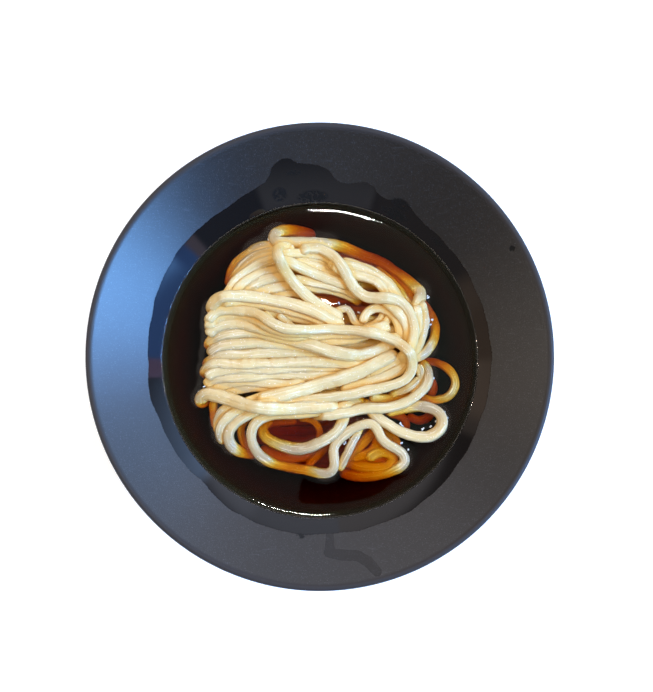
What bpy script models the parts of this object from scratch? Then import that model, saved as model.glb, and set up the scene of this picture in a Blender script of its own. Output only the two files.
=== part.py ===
"""Udon noodle bowl: a shallow conical bowl on a foot ring, its broth, and a folded bundle of noodles.

All sizes are metres and +Z is up. The origin is the middle of the foot ring's underside. The bowl and
the broth are turned about the Z axis. The noodles are one solid out to the bundle's uneven outline: a
core that stands on the bowl's floor, with strands laid over it, folds at its left side and loops that
hang out of it on the other sides. The broth is filled up to its level and cut round the noodles.
"""

import math

import bmesh
import bpy

MM = 0.001

# The bowl: a cone that runs into a flat floor over a round arc, closed by a round rim.
RIM_RADIUS = 125 * MM
WALL_THICKNESS = 4 * MM
WALL_SLOPE = math.radians(37.4)
FLOOR_RADIUS = 32 * MM
FLOOR_HEIGHT = 12 * MM
FLOOR_BEND_RADIUS = 30 * MM
FOOT_RADIUS = 48 * MM
FOOT_INNER_RADIUS = 42 * MM
FOOT_RECESS = 6.5 * MM
FOOT_EDGE = 1 * MM
TURN_STEPS = 72

# What it holds.
BROTH_LEVEL = 47 * MM
GAP = 0.3 * MM
BROTH_CLEARANCE = 1.2 * MM
STRAND_RADIUS = 3 * MM

# The bundle: an uneven heap over a core, with its middle a little to the left of the bowl's axis.
HEAP_X = -4 * MM
HEAP_Y = 4 * MM
HEAP_HALF_X = 60 * MM
HEAP_HALF_Y = 57 * MM
HEAP_CROWN = 8 * MM
CORE_FOOT_RADIUS = 30 * MM
CORE_SIDES = 40
CORE_STAND_OFF = 2 * GAP

# The hank: strands side by side that run from the folds at the left to the right-hand side.
HANK_STRANDS = 11
HANK_TOP_Y = 35 * MM
HANK_PITCH = 6.2 * MM
HANK_LEFT_X = -57 * MM
HANK_LEFT_BULGE = 7 * MM
HANK_RIGHT_X = 44 * MM
HANK_SAG = 5 * MM
FOLD_DROP = 9 * MM

# The fan: strands that sweep from the right-hand side over the top to the upper left.
FAN_STRANDS = 5
FAN_RADIUS_X = 55 * MM
FAN_RADIUS_Y = 44 * MM
FAN_PITCH = 6.6 * MM
FAN_START = math.radians(-20)
FAN_END = math.radians(158)

# Loops that leave the heap: middle, half width, half depth, start and end angle, height over the broth.
LOOPS = {
    "lower_right": ((54 * MM, -34 * MM), 16 * MM, 10 * MM, -160, 165, 0.5 * MM),
    "far_right": ((65 * MM, -11 * MM), 11 * MM, 10 * MM, -150, 150, -3.0 * MM),
    "lower_left": ((-11 * MM, -46 * MM), 28 * MM, 17 * MM, 60, 290, -0.5 * MM),
    "inner_left": ((-8 * MM, -40 * MM), 20 * MM, 10 * MM, 170, 370, -2.0 * MM),
    "top": ((-13 * MM, 68 * MM), 14 * MM, 4.5 * MM, 20, 300, -0.5 * MM),
    "right_side": ((44 * MM, 16 * MM), 21 * MM, 32 * MM, -65, 75, -1.5 * MM),
    "top_right": ((2 * MM, 8 * MM), 55 * MM, 57 * MM, 20, 95, -4.0 * MM),
    "bottom_right": ((22 * MM, -46 * MM), 24 * MM, 14 * MM, -150, 60, -1.5 * MM),
    "bottom_coil": ((22 * MM, -44 * MM), 15 * MM, 13 * MM, -200, 120, -5.0 * MM),
}
LOOP_STEPS = 14

# Facets of the bundle.
TUBE_RESOLUTION = 1
TUBE_POINTS = 14
BUNDLE_VOXEL = 1.8 * MM
SPACE_VOXEL = 1.0 * MM
BUNDLE_FACES = 2800
SPACE_FACES = 2900


def clear_scene():
    """Removes every object of the open scene."""
    for item in list(bpy.data.objects):
        bpy.data.objects.remove(item, do_unlink=True)


def collection(name):
    """Adds a collection to the scene."""
    group = bpy.data.collections.new(name)
    bpy.context.scene.collection.children.link(group)
    return group


def finish(name, colour, roughness):
    """Makes a plain Principled material."""
    material = bpy.data.materials.new(name)
    material.use_nodes = True
    shader = material.node_tree.nodes["Principled BSDF"]
    shader.inputs["Base Color"].default_value = (*colour, 1.0)
    shader.inputs["Roughness"].default_value = roughness
    shader.inputs["Metallic"].default_value = 0.0
    return material


def arc(centre, radius, start, end, steps):
    """Points (radius, height) of an arc in the turning plane, with angles from the +X direction."""
    points = []
    for step in range(steps + 1):
        angle = start + (end - start) * step / steps
        points.append((centre[0] + radius * math.cos(angle), centre[1] + radius * math.sin(angle)))
    return points


def cone_foot(offset):
    """The point where the inner cone, moved into the hollow by offset, starts above the floor's bend."""
    bend = FLOOR_BEND_RADIUS - offset
    middle = (FLOOR_RADIUS, FLOOR_HEIGHT + FLOOR_BEND_RADIUS)
    return (
        middle[0] + bend * math.sin(WALL_SLOPE),
        middle[1] - bend * math.cos(WALL_SLOPE),
    )


def cone_radius(height, offset=0.0):
    """The radius of the inner cone at a height, moved into the hollow by offset."""
    foot = cone_foot(offset)
    return foot[0] + (height - foot[1]) / math.tan(WALL_SLOPE)


def floor_outline(offset):
    """The hollow's floor and bend from the axis out, moved into the hollow by offset."""
    middle = (FLOOR_RADIUS, FLOOR_HEIGHT + FLOOR_BEND_RADIUS)
    bend = arc(middle, FLOOR_BEND_RADIUS - offset, -math.pi / 2, -math.pi / 2 + WALL_SLOPE, 5)
    return [(0.0, FLOOR_HEIGHT + offset)] + bend


def bowl_outline():
    """The bowl's half section: floor, inner cone, round rim, outer cone, foot ring and underside."""
    half_wall = WALL_THICKNESS / 2
    # The rim is a half circle about the middle of the wall's end, out to the rim's radius.
    rim_x = RIM_RADIUS - half_wall
    inner_x = rim_x - half_wall * math.sin(WALL_SLOPE)
    foot = cone_foot(0.0)
    inner_z = foot[1] + (inner_x - foot[0]) * math.tan(WALL_SLOPE)
    rim_z = inner_z - half_wall * math.cos(WALL_SLOPE)
    across = math.pi / 2 + WALL_SLOPE
    rim = arc((rim_x, rim_z), half_wall, across, across - math.pi, 6)
    outer_z = rim[-1][1] - (rim[-1][0] - FOOT_RADIUS) * math.tan(WALL_SLOPE)
    foot_ring = [
        (FOOT_RADIUS, outer_z),
        (FOOT_RADIUS, FOOT_EDGE),
        (FOOT_RADIUS - FOOT_EDGE, 0.0),
        (FOOT_INNER_RADIUS + FOOT_EDGE, 0.0),
        (FOOT_INNER_RADIUS, FOOT_EDGE),
        (FOOT_INNER_RADIUS, FOOT_RECESS),
    ]
    return floor_outline(0.0) + rim + foot_ring + [(0.0, FOOT_RECESS)]


def broth_outline():
    """The broth's half section: its side and bottom keep the gap to the bowl, its top is its level."""
    outside = floor_outline(GAP) + [(cone_radius(BROTH_LEVEL, GAP), BROTH_LEVEL)]
    return [(0.0, BROTH_LEVEL)] + outside[::-1]


def turned(name, outline, group, steps=TURN_STEPS):
    """Turns a half section about the Z axis with a Screw modifier."""
    mesh = bpy.data.meshes.new(name)
    shape = bmesh.new()
    corners = [shape.verts.new((radius, 0.0, height)) for radius, height in outline]
    for first, second in zip(corners, corners[1:]):
        shape.edges.new((first, second))
    shape.to_mesh(mesh)
    shape.free()
    item = bpy.data.objects.new(name, mesh)
    group.objects.link(item)
    screw = item.modifiers.new("turn", "SCREW")
    screw.steps = steps
    screw.render_steps = steps
    screw.use_merge_vertices = True
    screw.merge_threshold = 0.00001
    return item


def evaluated_mesh(item):
    """The mesh of an object with its modifiers applied."""
    bpy.context.view_layer.update()
    depsgraph = bpy.context.evaluated_depsgraph_get()
    return bpy.data.meshes.new_from_object(item.evaluated_get(depsgraph))


def heap_reach(x, y):
    """How far a spot lies from the heap's middle: 1 at its outline."""
    return math.hypot((x - HEAP_X) / HEAP_HALF_X, (y - HEAP_Y) / HEAP_HALF_Y)


def heap_height(x, y):
    """Height of a strand's middle line where it lies on the heap."""
    return BROTH_LEVEL + HEAP_CROWN * (1.0 - heap_reach(x, y) ** 2.5)


def hank_strand(row):
    """One strand of the hank: a fold that comes up at the left, then a run that sags to the right."""
    share = row / (HANK_STRANDS - 1)
    left_y = HANK_TOP_Y - row * HANK_PITCH
    left_x = HANK_LEFT_X - HANK_LEFT_BULGE * math.sin(math.pi * share)
    sway = HANK_SAG * math.sin(2.4 * row)
    points = [(left_x + 3 * MM, left_y - 2 * MM, BROTH_LEVEL - FOLD_DROP)]
    for step in range(TUBE_POINTS):
        along = step / (TUBE_POINTS - 1)
        x = left_x + (HANK_RIGHT_X - left_x) * along
        y = left_y * (1.0 - 0.35 * along) + sway * math.sin(math.pi * along)
        edge = 2.5 * MM * (1.0 - min(1.0, 6.0 * along))
        points.append((x, y, heap_height(x, y) - edge))
    points.append((HANK_RIGHT_X + 6 * MM, points[-1][1] - 3 * MM, BROTH_LEVEL - FOLD_DROP))
    return points


def fan_strand(row):
    """One strand of the fan: an arc round the heap's upper side, inside the one before it."""
    points = []
    for step in range(TUBE_POINTS):
        angle = FAN_START + (FAN_END - FAN_START) * step / (TUBE_POINTS - 1)
        x = HEAP_X + (FAN_RADIUS_X - row * FAN_PITCH) * math.cos(angle)
        y = 12 * MM + (FAN_RADIUS_Y - row * FAN_PITCH) * math.sin(angle)
        points.append((x, y, heap_height(x, y) - 1.5 * MM))
    return points


def loop_strand(middle, half_x, half_y, start, end, height):
    """A loop that leaves the heap, on an ellipse at a height over the broth."""
    points = []
    for step in range(LOOP_STEPS + 1):
        angle = math.radians(start + (end - start) * step / LOOP_STEPS)
        x = middle[0] + half_x * math.cos(angle)
        y = middle[1] + half_y * math.sin(angle)
        points.append((x, y, BROTH_LEVEL + height))
    return points


def strand_tube(points, group):
    """A round tube through the points, as a mesh whose caps are welded on."""
    curve = bpy.data.curves.new("strand", "CURVE")
    curve.dimensions = "3D"
    curve.bevel_depth = STRAND_RADIUS
    curve.bevel_resolution = TUBE_RESOLUTION
    curve.use_fill_caps = True
    spline = curve.splines.new("POLY")
    spline.points.add(len(points) - 1)
    for knot, place in zip(spline.points, points):
        knot.co = (*place, 1.0)
    item = bpy.data.objects.new("strand", curve)
    group.objects.link(item)
    mesh = evaluated_mesh(item)
    bpy.data.objects.remove(item, do_unlink=True)
    bpy.data.curves.remove(curve)
    return mesh


def fuse_and_reduce(item, voxel, faces):
    """Fuses an object's overlapping shapes into one skin, then brings it down to about so many faces."""
    fuse = item.modifiers.new("fuse", "REMESH")
    fuse.mode = "VOXEL"
    fuse.voxel_size = voxel
    facets = sum(len(face.vertices) - 2 for face in evaluated_mesh(item).polygons)
    reduce = item.modifiers.new("reduce", "DECIMATE")
    reduce.ratio = faces / facets


def core_shape(shape):
    """Adds the bundle's core: a rounded drum that stands on the bowl's floor and widens to the heap."""
    foot_z = FLOOR_HEIGHT + CORE_STAND_OFF
    levels = [
        (foot_z, CORE_FOOT_RADIUS, 0.0),
        (foot_z + 8 * MM, 0.66, 0.3),
        (foot_z + 20 * MM, 0.82, 0.8),
        (BROTH_LEVEL - 5 * MM, 0.88, 1.0),
        (BROTH_LEVEL + 1 * MM, 0.78, 1.0),
        (BROTH_LEVEL + 4 * MM, 0.50, 1.0),
        (BROTH_LEVEL + 5.5 * MM, 0.20, 1.0),
    ]
    rings = []
    for height, size, shift in levels:
        ring = []
        for side in range(CORE_SIDES):
            angle = 2 * math.pi * side / CORE_SIDES
            if height == foot_z:
                half_x = half_y = size
            else:
                half_x = HEAP_HALF_X * size
                half_y = HEAP_HALF_Y * size
            x = HEAP_X * shift + half_x * math.cos(angle)
            y = HEAP_Y * shift + half_y * math.sin(angle)
            ring.append(shape.verts.new((x, y, height)))
        rings.append(ring)
    for low, high in zip(rings, rings[1:]):
        for side in range(CORE_SIDES):
            after = (side + 1) % CORE_SIDES
            shape.faces.new((low[side], low[after], high[after], high[side]))
    shape.faces.new(rings[0][::-1])
    shape.faces.new(rings[-1])


def noodle_bundle(group, scratch):
    """The noodles as one closed solid: core and strands fused, then brought down to plain facets."""
    shape = bmesh.new()
    core_shape(shape)
    routes = [hank_strand(row) for row in range(HANK_STRANDS)]
    routes += [fan_strand(row) for row in range(FAN_STRANDS)]
    routes += [loop_strand(*loop) for loop in LOOPS.values()]
    for points in routes:
        tube = strand_tube(points, scratch)
        shape.from_mesh(tube)
        bpy.data.meshes.remove(tube)
    bmesh.ops.remove_doubles(shape, verts=shape.verts, dist=0.01 * MM)
    mesh = bpy.data.meshes.new("noodles")
    shape.to_mesh(mesh)
    shape.free()
    item = bpy.data.objects.new("noodles", mesh)
    group.objects.link(item)
    fuse_and_reduce(item, BUNDLE_VOXEL, BUNDLE_FACES)
    return item


def keep_largest_body(item):
    """Applies an object's modifiers and drops the drops of broth shut in between strands."""
    shape = bmesh.new()
    shape.from_mesh(evaluated_mesh(item))
    left = set(shape.verts)
    bodies = []
    while left:
        body = {left.pop()}
        edge_of_body = list(body)
        while edge_of_body:
            corner = edge_of_body.pop()
            for edge in corner.link_edges:
                other = edge.other_vert(corner)
                if other in left:
                    left.remove(other)
                    body.add(other)
                    edge_of_body.append(other)
        bodies.append(body)
    bodies.sort(key=len)
    for body in bodies[:-1]:
        bmesh.ops.delete(shape, geom=list(body), context="VERTS")
    item.modifiers.clear()
    shape.to_mesh(item.data)
    shape.free()


def cut_round(item, bundle, cutters):
    """Cuts an object round the bundle, with the bundle's swollen skin."""
    cutter = bpy.data.objects.new("noodle_space", evaluated_mesh(bundle))
    cutter.hide_render = True
    cutter.display_type = "WIRE"
    cutters.objects.link(cutter)
    swell = cutter.modifiers.new("gap", "DISPLACE")
    swell.strength = BROTH_CLEARANCE
    swell.mid_level = 0.0
    fuse_and_reduce(cutter, SPACE_VOXEL, SPACE_FACES)
    cut = item.modifiers.new("noodle_space", "BOOLEAN")
    cut.operation = "DIFFERENCE"
    cut.solver = "EXACT"
    cut.object = cutter
    keep_largest_body(item)


def main():
    """Builds the bowl, the broth and the noodles."""
    clear_scene()
    group = collection("udon_noodle_bowl")
    cutters = collection("cutters")
    bowl = turned("bowl", bowl_outline(), group)
    broth = turned("broth", broth_outline(), group)
    noodles = noodle_bundle(group, cutters)
    cut_round(broth, noodles, cutters)
    bowl.data.materials.append(finish("satin_black_glaze", (0.035, 0.034, 0.036), 0.45))
    broth.data.materials.append(finish("soy_broth", (0.045, 0.018, 0.006), 0.05))
    noodles.data.materials.append(finish("boiled_noodle", (0.84, 0.74, 0.50), 0.35))


main()
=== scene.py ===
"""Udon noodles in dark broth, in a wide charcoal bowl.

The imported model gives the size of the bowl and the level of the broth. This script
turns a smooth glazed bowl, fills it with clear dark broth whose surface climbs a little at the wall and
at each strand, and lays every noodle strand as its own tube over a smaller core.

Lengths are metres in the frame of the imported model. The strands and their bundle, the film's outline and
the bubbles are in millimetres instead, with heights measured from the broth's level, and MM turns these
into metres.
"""

import logging
import math
from dataclasses import dataclass
from enum import Enum
from typing import Sequence

import bmesh
import bpy
import numpy as np
from mathutils import Matrix, Vector, kdtree, noise


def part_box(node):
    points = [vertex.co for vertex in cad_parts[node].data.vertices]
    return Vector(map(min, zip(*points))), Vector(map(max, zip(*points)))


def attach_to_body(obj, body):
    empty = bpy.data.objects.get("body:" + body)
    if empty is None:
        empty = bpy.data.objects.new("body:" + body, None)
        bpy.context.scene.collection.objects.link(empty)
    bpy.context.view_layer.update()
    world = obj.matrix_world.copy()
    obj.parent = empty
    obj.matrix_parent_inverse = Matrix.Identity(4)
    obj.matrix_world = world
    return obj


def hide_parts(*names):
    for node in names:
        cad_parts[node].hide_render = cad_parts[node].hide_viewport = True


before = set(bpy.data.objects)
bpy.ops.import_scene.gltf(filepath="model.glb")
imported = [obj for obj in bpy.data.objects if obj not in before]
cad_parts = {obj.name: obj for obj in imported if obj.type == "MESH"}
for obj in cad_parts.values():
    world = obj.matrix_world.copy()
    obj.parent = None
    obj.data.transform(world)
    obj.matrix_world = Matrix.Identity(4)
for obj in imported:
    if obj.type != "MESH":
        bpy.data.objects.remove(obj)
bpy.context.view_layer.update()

MM = 0.001
BODY = "root"
log = logging.getLogger("udon_bowl")

Pair = tuple[float, float]
Colour = tuple[float, float, float]
Route = tuple[tuple[float, float, float], ...]
Socket = bpy.types.NodeSocket
WHITE = (1.0, 1.0, 1.0, 1.0)
CURVE_CUTS = 16
TINY = 0.001 * MM


class Layer(Enum):
    """The part of the bundle that a strand belongs to, from the lowest to the highest."""

    PACKING = "noodles_packing"
    SUNK = "noodles_sunk"
    LOOSE = "noodles_loose"
    HANK = "noodles_hank"
    TOP = "noodles_top"


@dataclass(frozen=True)
class Strand:
    """One noodle strand.

    Attributes:
        name: What the strand is.
        width: Its width in millimetres.
        route: Points on its middle line in millimetres, with heights from the broth's level.
        fold: True where its first end turns down and back under itself.
        ripple: Height of the ripples along its edges in millimetres.
    """

    name: str
    width: float
    route: Route
    fold: bool = False
    ripple: float = 0.0


SUNK_STRANDS = (
    Strand("deep_bit", 5.5, ((-33, -37, -8), (-28, -34.6, -7), (-21, -34, -6.5), (-13, -33.4, -7))),
    Strand("deep_arc", 6.0, (
        (-34, -49.5, -7), (-25, -53.6, -6.8), (-16.5, -54.8, -6.8), (-8, -53.8, -6.8), (-1, -51, -7),
        (5, -46, -8))),
    Strand("deep_link", 4.6, (
        (-7, -60, -5.6), (-4, -56.5, -5.2), (0, -52.5, -5), (4, -48.5, -5), (7, -44, -6))),
    Strand("thin_curl", 3.9, (
        (-12, -32.4, -4.6), (-6.5, -32.8, -4.2), (-2.4, -35, -4), (-0.2, -38.6, -4), (0.1, -42.4, -4.4),
        (-1.2, -47, -5.6))),
    Strand("left_edge_sunk", 5.4, (
        (-59.8, -22, -3), (-60.2, -27, -3.2), (-59.2, -32, -3.6), (-58.2, -38, -5))),
    Strand("left_inner_sunk", 4.6, (
        (-40, -31, -3), (-43.4, -35, -3.6), (-44.6, -39.5, -3.6), (-43.8, -44, -3.9), (-41.6, -48, -4.4),
        (-38.6, -51.5, -6))),
    Strand("curl_a", 4.8, (
        (39, -29.6, -6.2), (44, -30.4, -6), (47.8, -32.2, -6), (49.2, -35.6, -6.2), (48, -39.5, -7))),
    Strand("curl_b", 4.8, (
        (50, -30.5, -7), (53.8, -33.4, -6.8), (57.4, -33.8, -6.8), (61.8, -31.6, -7), (64, -28, -8))),
    Strand("right_bit", 4.6, ((61, -8.5, -6.5), (63.6, -11.6, -6), (65, -15.8, -6), (62.6, -20, -6.8))),
    Strand("coil_f", 6.0, (
        (14, -53, -6.8), (22, -56.5, -6.4), (31, -57, -6.4), (38, -54.5, -6.6), (43, -50, -7))),
    Strand("coil_a", 6.4, (
        (31.5, -39.5, -5), (33, -44, -4.6), (31.6, -48.8, -4.4), (27, -52.4, -4.4), (20, -54, -4.6),
        (13, -54.5, -5.4))),
    Strand("coil_b", 6.0, (
        (17.6, -53.6, -4.8), (20.4, -50.4, -4.4), (24.4, -46, -4.2), (28.4, -42, -4.4), (31.5, -37.8, -5))),
    Strand("coil_c", 5.4, ((36.6, -34.6, -4.6), (39.6, -39.6, -4.2), (42, -44, -4.2), (45, -48.6, -4.8))),
    Strand("coil_d", 5.4, ((32, -32, -4), (35.6, -36, -4), (38.2, -40.8, -4.2), (39.6, -46, -5))),
    Strand("coil_e", 6.4, (
        (26.6, -56, -3.6), (29.6, -52.8, -4), (34.6, -51, -4.2), (39.6, -52, -4.3), (42, -55.4, -4.3),
        (39.4, -59, -4.4), (32.6, -60.6, -4.6), (24, -60, -5), (16, -57.4, -5.6), (11, -54, -7))),
    Strand("upper_left_edge", 6.4, (
        (-20, 63.6, -1.5), (-25, 64.2, -1.3), (-30, 64.2, -1.3), (-35, 63.2, -1.4), (-40, 60.4, -1.8),
        (-44.4, 56.8, -3.3), (-48, 52.4, -3.6), (-50.4, 47.4, -4.6), (-51.6, 42, -6.5))),
    Strand("inner_sweep", 6.0, (
        (8, 60, -8), (18, 57.2, -8.4), (27, 53.4, -8.4), (36, 47.6, -8), (43, 40.6, -7.4))),
    Strand("right_sweep_low", 4.6, (
        (40, 49.6, -6.4), (44.2, 46.4, -5.6), (48.6, 41.6, -4.8), (51.6, 36.4, -4.2), (52.4, 31, -3.4))),
    Strand("right_sweep", 5.4, (
        (31, 52.4, -5), (38.4, 46.8, -4.4), (43.6, 41.4, -3.6), (47, 36.4, -2.6), (49.4, 31.6, -1.4),
        (50.8, 26.5, -0.4))),
    Strand("right_edge", 5.6, (
        (55.5, 35.5, -7), (59.4, 31.2, -6.4), (62.9, 26, -5.4), (65.1, 20.6, -4.8), (65.4, 15.2, -4.2),
        (63.6, 10.4, -3), (60.4, 6.2, -0.8), (56.8, 3, 0.8), (51.6, 0.6, 1.4))),
    Strand("gap_a", 5.4, (
        (28, -20.6, -2), (34, -21.4, -3.3), (40, -21.6, -3.7), (46, -20.2, -3.7), (52, -17.6, -3.5),
        (56, -13.5, -3.6))),
    Strand("gap_b", 5.0, (
        (54.4, -2.4, -1.4), (56.8, -6, -2.6), (57, -10.4, -3.3), (54.8, -14.4, -2.8), (50.5, -16.8, -1.6))),
)

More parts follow.
